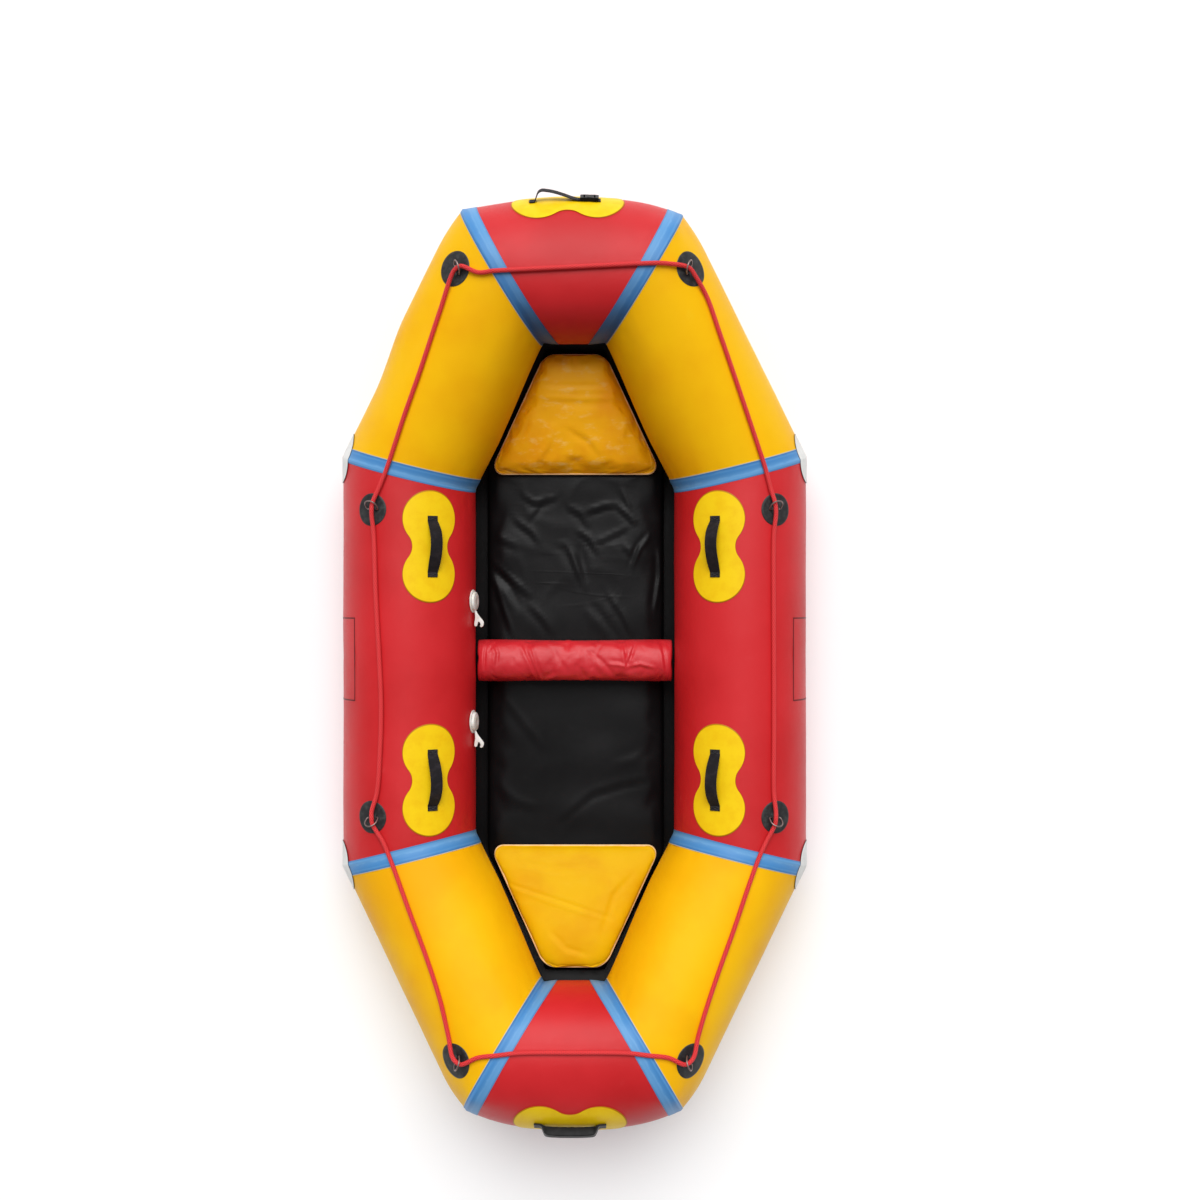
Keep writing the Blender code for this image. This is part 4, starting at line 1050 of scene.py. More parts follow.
def sewSoft(piece, held, look, creases, bed=None, **ways):    # blown up, cut finer and creased
    puffUp(piece, held, look["pressure"], look["cap"], look["slack"])
    if bed:
        movePoints(piece, lambda co: Vector((co.x, co.y, max(co.z, bed))))
    changeBy(piece, "SUBSURF", levels=1, render_levels=1)
    tidyMesh(piece)
    pressCreases(piece, creases, look["wander"], look["wanderSize"], **ways)


def dome(share, power):
    return max(0.0, 1 - abs(share) ** power) ** (1 / power)


def crowded(share, part=1.0):    # rows crowd towards both ends, wholly or in part
    return part * sin(pi / 2 * share) + (1 - part) * share


# floor mattress
mattress = {"thickness": 0.078, "halfWidth": 0.232, "endY": 0.8, "tubeGap": 0.012, "crown": 4.0, "start": 0.93,
            "pressure": 3.0, "cap": 0.0035, "slack": 0.03, "wander": 0.0026, "wanderSize": 7.5, "heldBelow": 0.012}
mattressTop = hull["floor"] + hull["gap"] + mattress["thickness"]
mattressCreases = (
    (((-0.135, 0.428), (-0.109, 0.41), (-0.076, 0.415), (-0.051, 0.424)), 0.005, -0.004),
    (((-0.076, 0.415), (-0.095, 0.385), (-0.115, 0.36)), 0.006, 0.0026),
    (((-0.157, 0.366), (-0.139, 0.351), (-0.113, 0.333), (-0.095, 0.307)), 0.006, -0.0034),
    (((-0.215, 0.3256), (-0.186, 0.311), (-0.15, 0.296)), 0.007, -0.0028),
    (((-0.215, 0.2524), (-0.19, 0.2305), (-0.15, 0.194), (-0.117, 0.165)), 0.0055, -0.0046),
    (((-0.21, 0.23), (-0.175, 0.19), (-0.145, 0.14)), 0.01, 0.004),
    (((-0.218, 0.212), (-0.204, 0.187), (-0.186, 0.128), (-0.164, 0.07)), 0.006, -0.0034),
    (((-0.018, 0.399), (0.015, 0.38), (0.033, 0.351)), 0.0055, -0.0038),
    (((0.026, 0.384), (0.07, 0.399), (0.106, 0.406)), 0.005, -0.0036),
    (((0.106, 0.406), (0.128, 0.384), (0.158, 0.355)), 0.0045, -0.0046),
    (((0.004, 0.3365), (0.033, 0.318), (0.059, 0.278)), 0.0045, -0.0052),
    (((-0.0435, 0.3), (-0.025, 0.3), (-0.011, 0.274), (0.004, 0.238), (0.026, 0.179)), 0.0055, -0.0042),
    (((0.01, 0.3), (0.02, 0.25), (0.03, 0.21)), 0.011, 0.0034),
    (((0.194, 0.322), (0.1686, 0.2927), (0.1467, 0.2415)), 0.0045, -0.005),
    (((0.1247, 0.2963), (0.15, 0.274)), 0.005, -0.0036),
    (((0.218, 0.289), (0.22, 0.216), (0.206, 0.128)), 0.0055, -0.004),
    (((0.081, 0.1757), (0.125, 0.1135), (0.147, 0.065)), 0.0055, -0.0034),
    (((0.033, 0.15), (0.07, 0.11), (0.1, 0.065)), 0.009, 0.003),
    (((-0.12, 0.143), (-0.084, 0.106), (-0.062, 0.073)), 0.0065, -0.0028),
    (((0.1174, 0.446), (0.133, 0.415), (0.143, 0.391)), 0.006, -0.003),
    (((0.055, 0.307), (0.106, 0.329), (0.136, 0.344)), 0.005, -0.0034),
    (((-0.186, -0.098), (-0.13, -0.17), (-0.084, -0.226)), 0.009, -0.0016),
    (((0.205, -0.317), (0.12, -0.335), (0.048, -0.357), (-0.04, -0.43)), 0.008, 0.0022),
    (((0.195, -0.23), (0.15, -0.26), (0.1, -0.275)), 0.01, -0.0014),
    (((-0.2, -0.33), (-0.15, -0.37), (-0.1, -0.385)), 0.01, -0.0014),
)


def bowCrinkle(spot):    # a few soft ridges between the long folds of the bow half
    where = Vector((spot.x * 8 + spot.y * 5, spot.y * 7 - spot.x * 4, 4.0))
    ridge = (1 - min(1.0, abs(noise.noise(where)) * 4.0)) ** 2
    return 0.0011 * ridge * eased(spot.y, -0.05, 0.2)


def tubeInnerX(y, below):
    chord = sqrt(hull["radius"] ** 2 - below ** 2)
    slant = (hull["endSeamX"] - hull["sideX"]) / (hull["endY"] - hull["sideSeamY"])
    if abs(y) < hull["sideSeamY"]:
        return hull["sideX"] - chord
    return hull["sideX"] + (abs(y) - hull["sideSeamY"]) * slant - chord * hypot(1, slant)


def mattressHalf(y):
    return min(mattress["halfWidth"], tubeInnerX(y, hull["radius"] - mattress["thickness"]) - mattress["tubeGap"])


def layMattress():
    rim = mattress["thickness"] / 8

    def place(co):
        y = crowded(co.y, 0.45) * mattress["endY"]
        share = crowded(co.x, 0.6)
        swell = dome(y / mattress["endY"], mattress["crown"] * 3) * dome(share, mattress["crown"])
        half = rim / 2 + (mattress["thickness"] * mattress["start"] - rim) / 2 * swell
        middle = floorHeight(y) + hull["gap"] + mattress["thickness"] / 2
        if co.z < 0:
            half = rim / 2 + (mattress["thickness"] - rim) / 2 * swell
        return Vector((share * mattressHalf(y), y, middle + co.z * half))

    piece, edge = softBox(48, 186, place)
    base = [point.index for point in piece.data.vertices
            if point.co.z < floorHeight(point.co.y) + mattress["heldBelow"]]
    sewSoft(piece, edge + base, mattress, mattressCreases, stretch=(1.0, 1.5, 1.0), crinkle=bowCrinkle)
    finishPiece(piece, "floorMattress", mattressCloth, "hull", ["floor_mattress"], 60)


layMattress()
print("mattress")


# thwart cushion
thwart = {"depth": 0.108, "height": 0.104, "gap": 0.0035, "waist": 0.006, "pressure": 4.0, "cap": 0.0045,
          "slack": 0.02, "wander": 0.0016, "wanderSize": 16.0}
thwartCreases = (
    (((-0.2252, 0.048), (-0.229, 0.02), (-0.2303, -0.02)), 0.0032, 0.003),
    (((-0.21, 0.05), (-0.196, 0.02), (-0.199, -0.01)), 0.004, 0.0032),
    (((-0.1339, 0.046), (-0.1111, -0.0023), (-0.0882, -0.0581)), 0.0038, 0.0042),
    (((-0.1136, 0.0459), (-0.0984, -0.0023), (-0.0755, -0.0581)), 0.0034, 0.0034),
    (((-0.0502, 0.0281), (-0.038, 0.001), (-0.0223, -0.0277)), 0.0075, 0.0024),
    (((0.0386, 0.0281), (0.0741, -0.0074), (0.1046, -0.0429)), 0.006, 0.0034),
    (((0.1249, 0.05), (0.129, 0.02), (0.1325, -0.015)), 0.0034, 0.004),
    (((0.1553, 0.05), (0.144, 0.015), (0.1325, -0.015)), 0.0034, 0.0036),
    (((0.1325, -0.015), (0.1084, -0.009), (0.0843, -0.0074)), 0.0045, -0.0034),
    (((0.1325, -0.015), (0.1655, -0.0074), (0.2035, -0.0175)), 0.0045, -0.0034),
    (((0.22, 0.05), (0.227, 0.015), (0.233, -0.03)), 0.0042, 0.003),
)


def layThwart():
    length = 2 * (hull["sideX"] - hull["radius"] - thwart["gap"])
    middle = mattressTop + hull["gap"] + thwart["height"] / 2

    def place(co):
        along = crowded(co.x, 0.6)
        share = crowded(co.y)
        depth = thwart["depth"] - thwart["waist"] * cos(pi * along / 2) ** 2
        swellAlong = dome(along, 9)
        half = max(thwart["height"] / 2 * 0.97 * swellAlong * dome(share, 2.2), thwart["height"] / 40)
        return Vector((along * length / 2, share * depth / 2 * (0.86 + 0.14 * swellAlong), middle + co.z * half))

    piece, edge = softBox(96, 30, place)
    sewSoft(piece, edge, thwart, thwartCreases, bed=mattressTop + hull["gap"])
    finishPiece(piece, "thwartCushion", thwartCloth, "hull", ["thwart"], 60)


layThwart()


# seat pads, each with a piped rim
seatPad = {"wideY": 0.4825, "narrowY": 0.779, "wideHalf": 0.221, "narrowHalf": 0.076, "wideCorner": 0.036,
           "narrowCorner": 0.026, "thickness": 0.058, "under": 0.38, "start": 0.92, "rim": 0.006, "crown": 2.6,
           "piping": 0.0026, "pressure": 4.0, "cap": 0.005, "slack": 0.025, "wander": 0.002, "wanderSize": 17.0}
padCreases = {
    "bow": (
        (((-0.086, 0.7), (0.02, 0.699), (0.1, 0.701)), 0.006, 0.0022),
        (((-0.09, 0.672), (0.02, 0.666), (0.11, 0.67)), 0.007, -0.0024),
        (((-0.15, 0.55), (-0.125, 0.59), (-0.115, 0.62)), 0.008, 0.0026),
        (((-0.1, 0.51), (-0.07, 0.55), (-0.06, 0.6)), 0.0075, -0.0026),
        (((0.06, 0.52), (0.03, 0.56), (-0.02, 0.59)), 0.008, 0.0028),
        (((0.14, 0.53), (0.12, 0.57), (0.13, 0.61)), 0.008, -0.0024),
    ),
    "stern": (
        (((-0.1824, -0.5713), (-0.0387, -0.6149), (0.0948, -0.6586)), 0.0045, 0.003),
        (((-0.15, -0.52), (-0.06, -0.535), (0.06, -0.53)), 0.009, 0.0022),
        (((0.15, -0.55), (0.1, -0.6), (0.07, -0.69)), 0.008, 0.0022),
        (((-0.06, -0.69), (-0.02, -0.73), (0.03, -0.745)), 0.007, 0.0022),
    ),
}


def padHalf(y):
    share = (y - seatPad["wideY"]) / (seatPad["narrowY"] - seatPad["wideY"])
    half = seatPad["wideHalf"] + (seatPad["narrowHalf"] - seatPad["wideHalf"]) * share
    for away, corner in ((y - seatPad["wideY"], seatPad["wideCorner"]),
                         (seatPad["narrowY"] - y, seatPad["narrowCorner"])):
        if away < corner:
            half -= corner - sqrt(max(0.0, corner ** 2 - (corner - away) ** 2))
    return half


def padSeam(y):
    return mattressTop + hull["gap"] + rampSlope * (y - rampStart) + seatPad["thickness"] * seatPad["under"]


def layPad(end):
    def place(co):
        along = crowded(co.y)
        y = seatPad["wideY"] + (seatPad["narrowY"] - seatPad["wideY"]) * (along + 1) / 2
        share = crowded(co.x)
        swell = dome(along, seatPad["crown"]) * dome(share, seatPad["crown"])
        part = (1 - seatPad["under"]) * seatPad["start"] if co.z > 0 else seatPad["under"]
        lift = seatPad["rim"] / 2 + (seatPad["thickness"] * part - seatPad["rim"] / 2) * swell
        return toQuarter(Vector((share * padHalf(y), y, padSeam(y) + co.z * lift)), end, "left")

    piece, edge = softBox(56, 52, place)
    sewSoft(piece, edge, seatPad, padCreases[end])
    body = f"{end}_seat_pad"
    finishPiece(piece, f"{end}SeatPad", litAndShadedPadCloths[end], body, [body], 60)
    span = seatPad["narrowY"] - seatPad["wideY"]
    flank = [seatPad["wideY"] + span * (crowded(2 * step / 60 - 1) + 1) / 2 for step in range(61)]
    outline = [(padHalf(y), y) for y in flank]
    narrow = padHalf(flank[-1])
    outline += [(narrow * (1 - 2 * step / 12), flank[-1]) for step in range(1, 12)]
    outline += [(-x, y) for x, y in reversed(outline[:61])]
    wide = padHalf(flank[0])
    outline += [(wide * (2 * step / 30 - 1), flank[0]) for step in range(1, 30)]
    path = [toQuarter(Vector((x, y, padSeam(y))), end, "left") for x, y in outline]
    piping = sweptLoop(path, seatPad["piping"], 8)
    finishPiece(piping, f"{end}PadPiping", padPiping, body)


layPad("bow")
layPad("stern")
print("thwart and seat pads")


# flat patches: a disc inset into rings, pressed onto the tube
def pressedDisc(segments, insets, reach, surface):
    bpy.ops.mesh.primitive_circle_add(vertices=segments, radius=1, fill_type="NGON", location=(0, 0, 0))
    piece = bpy.context.object
    openEdit(piece, everything=True)
    for inset in insets:
        bpy.ops.mesh.inset(thickness=inset, use_even_offset=False)
    bpy.ops.mesh.poke()
    closeEdit()

    def spread(co):
        ring = min(1.0, hypot(co.x, co.y))
        turn = atan2(co.y, co.x)
        size = ring * reach(turn)
        return surface(size * cos(turn), size * sin(turn), ring)

    setLayout(piece, lambda co: (min(1.0, hypot(co.x, co.y)), atan2(co.y, co.x)))
    movePoints(piece, spread)
    return piece


def rimShare(ring, rim):    # 0 within, rising to 1 over the rim
    return max(0.0, (ring - 1 + rim) / rim)


discInsets = (0.012, 0.013, 0.025, 0.05, 0.12, 0.18, 0.2, 0.2)


def eightReach(turn):    # how far the figure of eight reaches from its middle
    lobeAt = handle["length"] / 2 - handle["lobe"]
    fillet = (lobeAt ** 2 + handle["waist"] ** 2 - handle["lobe"] ** 2) / (2 * (handle["lobe"] - handle["waist"]))
    filletEnd = lobeAt * fillet / (handle["lobe"] + fillet)
    along = abs(cos(turn))
    aside = abs(sin(turn))
    far = along * lobeAt + sqrt(max(0.0, handle["lobe"] ** 2 - (aside * lobeAt) ** 2))
    if far * along >= filletEnd:
        return far
    middle = (handle["waist"] + fillet) * aside
    return middle - sqrt(max(0.0, middle ** 2 - (handle["waist"] + fillet) ** 2 + fillet ** 2))


def glueEight(name, node, run, along, angle, end, side):
    def surface(step, reach, ring):
        lift = handle["top"] - handle["rimDrop"] * rimShare(ring, handle["rim"]) ** 2
        return onHull(run, along + step, angle + reach / hull["radius"], lift, end, side)

    piece = pressedDisc(144, discInsets, eightReach, surface)
    faceAway(piece, coreOf(run, end, side))
    thicken(piece, handle["thickness"], -1)
    finishPiece(piece, name, yellowPatch, "hull", [node])


for end, side in quarters:
    glueEight(f"{end}{side.title()}HandlePatch", f"{end}_{side}_handle_patch", sideRun, handle["y"],
              handle["angle"], end, side)
glueEight("bowHandlePatch", "bow_handle_patch", endRun, handle["bowX"], handle["bowAngle"], "bow", "left")
glueEight("sternHandlePatch", "stern_handle_patch", endRun, handle["sternX"], handle["sternAngle"], "stern", "left")
print("handle patches")


# rope patches with their keepers, and the steel rings under them
ropePatch = {"thickness": 0.0012, "rim": 0.06, "rimDrop": 0.0012, "welt": 0.0004, "weltAt": 0.86, "weltWidth": 0.03}
keeper = {"crest": 0.006, "slope": 0.0058, "foot": 0.0007, "wall": 0.001, "round": 0.0004, "narrowed": 0.1}


def ringPath():
    half, rise, corner = ringSeat["halfWidth"], ringSeat["straight"], ringSeat["corner"]
    points = [(share * (half - corner) / 4, 0.0) for share in range(-4, 5)]
    for turn in range(-75, 1, 15):
        points.append((half - corner + corner * cos(radians(turn)), corner + corner * sin(radians(turn))))
    for turn in range(0, 181, 6):
        points.append((half * cos(radians(turn)), rise + half * sin(radians(turn))))
    for turn in range(180, 256, 15):
        points.append((-half + corner + corner * cos(radians(turn)), corner + corner * sin(radians(turn))))
    return points


def glueRopePatch(spot, run, along, angle, end, side):
    seat = seats[spot]
    name = "".join(part.title() for part in spot.split("_"))

    def surface(step, reach, ring):
        welt = ropePatch["welt"] * exp(-((ring - ropePatch["weltAt"]) / ropePatch["weltWidth"]) ** 2)
        lift = ringSeat["patchTop"] - ropePatch["rimDrop"] * rimShare(ring, ropePatch["rim"]) ** 2 + welt
        return onHull(run, along + step, angle + reach / hull["radius"], lift, end, side)

    radius = ringSeat["patch"][spot.split("_")[-1]]
    patch = pressedDisc(72, (0.03, 0.03, 0.04, 0.04, 0.04, 0.12, 0.2, 0.2), lambda turn: radius, surface)
    faceAway(patch, coreOf(run, end, side))
    thicken(patch, ropePatch["thickness"], -1)

    def loaf(u, v):
        step = (u - 0.5) * 2 * ringSeat["keeperFoot"]
        wide = (v - 0.5) * ringSeat["keeperWidth"]
        narrowed = 1 - keeper["narrowed"] * abs(2 * u - 1) ** 3
        height = keeper["foot"] + (keeper["crest"] - keeper["foot"]) * exp(-(step / keeper["slope"]) ** 2)
        sag = (step ** 2 * 0.6 + (wide * narrowed) ** 2 * 1.2) / (2 * hull["radius"])
        return seat @ Vector((step, wide * narrowed, height - sag))

    cover = laidGrid(26, 10, loaf, lambda u, v: (u * 0.8, v))
    faceAway(cover, lambda place: seat.translation - seat.to_3x3().col[2])
    thicken(cover, keeper["wall"], -1)
    roundEdges(cover, keeper["round"], 2, 50)
    joinTo(patch, cover)
    finishPiece(patch, f"{name}RopePatch", patchRubber, "hull", [f"{spot}_rope_patch"])
    ropeWay, spoke = (seat.to_3x3().col[index].copy() for index in (0, 2))
    barWay = ropeWay.cross(spoke)
    barCentre = seat.translation + spoke * ringSeat["bar"]
    leaning = (ropeWay * cos(ringSeat["lean"]) + spoke * sin(ringSeat["lean"])).normalized()
    ringFrame = frameFrom(barCentre, barWay, leaning, barWay.cross(leaning))
    path = [ringFrame @ Vector((x, y, 0)) for x, y in ringPath()]
    ring = sweptLoop(path, ringSeat["wire"], 14, ringFrame.to_3x3().col[2].copy())
    finishPiece(ring, f"{name}Ring", ringSteel, f"{spot}_ring", [f"{spot}_ring"], 60)


for end, side in quarters:
    glueRopePatch(f"{end}_{side}_side", sideRun, ringSeat["sideY"], ringSeat["sideAngle"], end, side)
    glueRopePatch(f"{end}_{side}_corner", slantRun, cornerAlong, cornerAngle, end, side)
print("rope patches and rings")


# webbing: a strip with rounded edges along a side-on line of (along, height) points
def curvePoint(points, share):    # a smooth line through the points
    place = share * (len(points) - 1)
    index = min(len(points) - 2, int(place))
    t = place - index
    before = points[max(0, index - 1)]
    start, finish = points[index], points[index + 1]
    after = points[min(len(points) - 1, index + 2)]
    return tuple(
        0.5 * (2 * b + (c - a) * t + (2 * a - 5 * b + 4 * c - d) * t * t + (3 * b - a - 3 * c + d) * t ** 3)
        for a, b, c, d in zip(before, start, finish, after)
    )


def stripOver(run, angle, points, width, end, side, cuts=88, feet=1.0):
    thickness = strap["thickness"]

    def place(u, v):
        along, height = curvePoint(points, v)
        offset = (u - 0.5) * width * (feet + (1 - feet) * eased(min(v, 1 - v), 0.02, 0.28))
        lift = height + thickness - strap["crown"] * (2 * u - 1) ** 2
        middle = hullPoint(run, along, angle, hull["radius"] + lift)
        return toQuarter(middle + run.axis.cross(run.spoke(angle)) * offset, end, side)

    whole = sum(hypot(b[0] - a[0], b[1] - a[1]) for a, b in zip(points, points[1:]))
    strip = laidGrid(14, cuts, place, lambda u, v: (u * width, v * whole))
    faceAway(strip, coreOf(run, end, side))
    thicken(strip, thickness, -1)
    roundEdges(strip, thickness * 0.3, 2, 55)
    return strip


strap = {"width": 0.03, "thickness": 0.002, "length": 0.15, "span": 0.126, "height": 0.029, "lean": 0.12,
         "inboard": 0.005, "feet": 0.84, "flat": 0.01, "crown": 0.0002}
strapBase = handle["top"] + hull["gap"]


# stitches: one thread laid once and copied to each place
thread = {"radius": 0.00035, "length": 0.0026, "pitch": 0.0036, "lift": 0.0001, "wide": 0.018}


def stitchRows(name, places, body):
    bpy.ops.mesh.primitive_cylinder_add(vertices=8, radius=thread["radius"], depth=thread["length"],
                                        rotation=(0, pi / 2, 0))
    piece = bpy.context.object
    placeDown(piece)
    roundEdges(piece, 0.0002, 1)
    work = bmesh.new()
    for place in places:
        start = len(work.verts)
        work.from_mesh(piece.data)
        work.verts.ensure_lookup_table()
        bmesh.ops.transform(work, matrix=place, verts=work.verts[start:])
    work.to_mesh(piece.data)
    work.free()
    finishPiece(piece, name, stitchThread, body)


def boxStitch(run, angle, middle, long, end, side):    # a sewn box with its cross
    places = []
    wide = thread["wide"]
    height = strapBase + strap["thickness"] + thread["lift"]
    corners = [(-long / 2, -wide / 2), (long / 2, -wide / 2), (long / 2, wide / 2), (-long / 2, wide / 2)]
    legs = list(zip(corners, corners[1:] + corners[:1])) + [(corners[0], corners[2]), (corners[1], corners[3])]
    sideways = run.axis.cross(run.spoke(angle))
    for (ax, ay), (bx, by) in legs:
        reach = hypot(bx - ax, by - ay)
        count = max(2, round(reach / thread["pitch"]))
        for step in range(count):
            share = (step + 0.5) / count
            along = middle + ax + (bx - ax) * share
            spot = hullPoint(run, along, angle, hull["radius"] + height) + sideways * (ay + (by - ay) * share)
            way = (run.axis * (bx - ax) + sideways * (by - ay)).normalized()
            spoke = run.spoke(angle)
            spot, way, spoke = (toQuarter(item, end, side) for item in (spot, way, spoke))
            way = (way - spoke * way.dot(spoke)).normalized()
            places.append(frameFrom(spot, way, spoke.cross(way), spoke))
    return places




def sewHandle(end, side):
    points = [(-strap["length"] / 2, strapBase), (-strap["length"] / 2 + strap["flat"], strapBase)]
    for step in range(21):
        share = 2 * step / 20 - 1
        leaning = share - strap["lean"] * (1 - share ** 2)
        points.append((share * strap["span"] / 2, strapBase + strap["height"] * max(0.0, 1 - leaning ** 2) ** 1.05))
    points += [(strap["length"] / 2 - strap["flat"], strapBase), (strap["length"] / 2, strapBase)]
    points = [(handle["y"] + along, height) for along, height in points]
    angle = handle["angle"] - strap["inboard"] / hull["radius"]
    strip = stripOver(sideRun, angle, points, strap["width"], end, side, feet=strap["feet"])
    name = f"{end}{side.title()}StrapHandle"
    finishPiece(strip, name, webbing, "hull", [f"{end}_{side}_strap_handle"])
    foot = (strap["length"] + strap["span"]) / 4
    places = []
    for sense in (-1, 1):
        places += boxStitch(sideRun, angle, handle["y"] + sense * foot, 0.0085, end, side)
    stitchRows(f"{name}Stitches", places, "hull")


for end, side in quarters:
    sewHandle(end, side)


# bow strap: a standing loop that runs down to its buckle
bowStrap = {"width": 0.025, "height": 0.024, "foot": 0.013, "left": 0.08, "peak": 0.064, "low": 0.03,
            "right": 0.08}
bowPlace = {key: handle["bowX"] + sense * bowStrap[key] for key, sense in
            (("left", -1), ("peak", -1), ("low", 1), ("right", 1))}


def sewBowStrap():
    left, peak, low, right = (bowPlace[key] for key in ("left", "peak", "low", "right"))
    rise = bowStrap["height"]
    down, on = low - peak, right - low
    points = [(along, strapBase + rise * share) for along, share in (
        (left - bowStrap["foot"], 0), (left - 0.006, 0), (left, 0.02), (left + (peak - left) * 0.22, 0.4),
        (left + (peak - left) * 0.5, 0.8), (peak, 1), (peak + down * 0.12, 0.98), (peak + down * 0.35, 0.78),
        (peak + down * 0.6, 0.45), (peak + down * 0.82, 0.14), (low, 0), (low + on * 0.5, 0), (right, 0),
    )]
    strip = stripOver(endRun, handle["bowAngle"], points, bowStrap["width"], "bow", "left", 120)
    finishPiece(strip, "bowStrap", webbing, "hull", ["bow_strap"])
    places = boxStitch(endRun, handle["bowAngle"], left - bowStrap["foot"] * 0.6, bowStrap["foot"], "bow", "left")
    stitchRows("bowStrapStitches", places, "hull")


sewBowStrap()


# bow buckle: a pinched body with two strap slots, a parting line and side catches
buckle = {"length": 0.045, "width": 0.031, "thickness": 0.0065, "slot": 0.004, "slotLong": 0.0225, "slotShare": 0.28,
          "pinch": 0.16, "pinchReach": 0.006, "bulge": 0.1, "bulgeReach": 0.01, "round": 0.0005}


def mouldBuckle():
    height = strapBase + strap["thickness"] + hull["gap"] * 3 + buckle["thickness"] / 2
    middle = bowPlace["low"] + buckle["length"] / 2
    radius = hull["radius"] + height
    centre = hullPoint(endRun, middle, handle["bowAngle"], radius)
    ahead = hullPoint(endRun, middle + buckle["length"] / 2, handle["bowAngle"], radius)
    behind = hullPoint(endRun, middle - buckle["length"] / 2, handle["bowAngle"], radius)
    lengthwise = (ahead - behind).normalized()
    widthwise = endRun.spoke(handle["bowAngle"]).cross(lengthwise).normalized()
    seat = frameFrom(centre, lengthwise, widthwise, lengthwise.cross(widthwise))
    bpy.ops.mesh.primitive_cube_add(size=1, location=(0, 0, 0))
    body = bpy.context.object
    cutAcross(body, across, 17)
    cutAcross(body, forward, 7)

    def waist(co):
        x = co.x * buckle["length"]
        pinch = 1 - buckle["pinch"] * exp(-(x / buckle["pinchReach"]) ** 2) - 0.1 * abs(2 * co.x) ** 6
        bulge = 1 + buckle["bulge"] * exp(-(x / buckle["bulgeReach"]) ** 2) - 0.22 * abs(2 * co.x) ** 4
        return Vector((x, co.y * buckle["width"] * pinch, co.z * buckle["thickness"] * bulge))

    openEdit(body)
    selectParts(body, "faces", lambda face: abs(face.normal.z) > 0.9 and abs(face.calc_center_median().y) > 0.25
                and abs(abs(face.calc_center_median().x) - 0.083) < 0.03)
    bpy.ops.mesh.inset(thickness=0.012)
    bpy.ops.mesh.extrude_region_shrink_fatten(TRANSFORM_OT_shrink_fatten={"value": -0.12})
    closeEdit()
    movePoints(body, waist)
    for share in (-buckle["slotShare"], buckle["slotShare"]):
        bpy.ops.mesh.primitive_cube_add(size=1, location=(share * buckle["length"], 0, 0))
        cutter = bpy.context.object
        cutter.scale = (buckle["slot"], buckle["slotLong"], buckle["thickness"] * 3)
        placeDown(cutter)
        changeBy(body, "BOOLEAN", operation="DIFFERENCE", object=cutter)
        bpy.data.objects.remove(cutter, do_unlink=True)
    roundEdges(body, buckle["round"], 2, 50)
    body.data.transform(seat)
    finishPiece(body, "bowBuckle", blackMoulding, "hull", ["bow_buckle"], 45)


mouldBuckle()


# stern grip: a moulded arch on two broad feet
grip = {"width": 0.026, "thickness": 0.005, "height": 0.0215, "base": 0.156, "top": 0.118, "foot": 0.018,
        "deep": 0.78, "held": 0.2, "waist": 0.22, "groove": 0.0006, "rib": 0.00035, "round": 0.0011}


def mouldGrip():
    rise = grip["height"]
    halfBase, halfTop = grip["base"] / 2, grip["top"] / 2
    half = [
        (halfBase + grip["foot"] / 2, 0.0), (halfBase - grip["foot"] * 0.2, 0.0),
        (halfBase - grip["foot"] / 2, rise * 0.1), (halfTop + grip["foot"] * 0.35, rise * 0.45),
        (halfTop + grip["foot"] * 0.1, rise * 0.8),
        (halfTop - 0.006, rise * 0.95), (halfTop / 2, rise),
    ]
    side = [(handle["sternX"] + x, strapBase + height) for x, height in half]
    other = [(handle["sternX"] - x, strapBase + height) for x, height in half]
    points = other + [(handle["sternX"], strapBase + rise)] + side[::-1]
    bpy.ops.mesh.primitive_cube_add(size=1, location=(0, 0, 0))
    body = bpy.context.object
    cutAcross(body, across, 95)
    cutAcross(body, forward, 9)

    def bend(co):
        share = co.x + 0.5
        along, height = curvePoint(points, share)
        held = exp(-((share - 0.5) / grip["held"]) ** 4)
        wide = grip["width"] * (1 - grip["waist"] * held)
        groove = grip["groove"] * exp(-(co.y / 0.06) ** 2) * held if co.z > 0 else 0.0
        thick = grip["thickness"] * (0.78 + 0.22 * held) * (1 - 0.35 * held * (2 * co.y) ** 4)
        lift = height + (grip["thickness"] / 2 + co.z * thick) - groove
        if co.z < 0:    # the bar is deep, as a hand would fill it
            lift -= (height - strapBase) * grip["deep"]
        ribs = grip["rib"] * max(0.0, sin(share * 150)) * held if co.z < 0 else 0.0
        floor = strapBase + (height - strapBase) * (1 - grip["deep"])
        middle = hullPoint(endRun, along, handle["sternAngle"], hull["radius"] + max(floor, lift - ribs))
        sideways = endRun.axis.cross(endRun.spoke(handle["sternAngle"]))
        return toQuarter(middle + sideways * (co.y * wide), "stern", "left")

    movePoints(body, bend)
    tidyMesh(body)
    roundEdges(body, grip["round"], 3, 50)
    finishPiece(body, "sternGrip", blackMoulding, "hull", ["stern_grip"], 50)


mouldGrip()
print("handles, strap and grip")


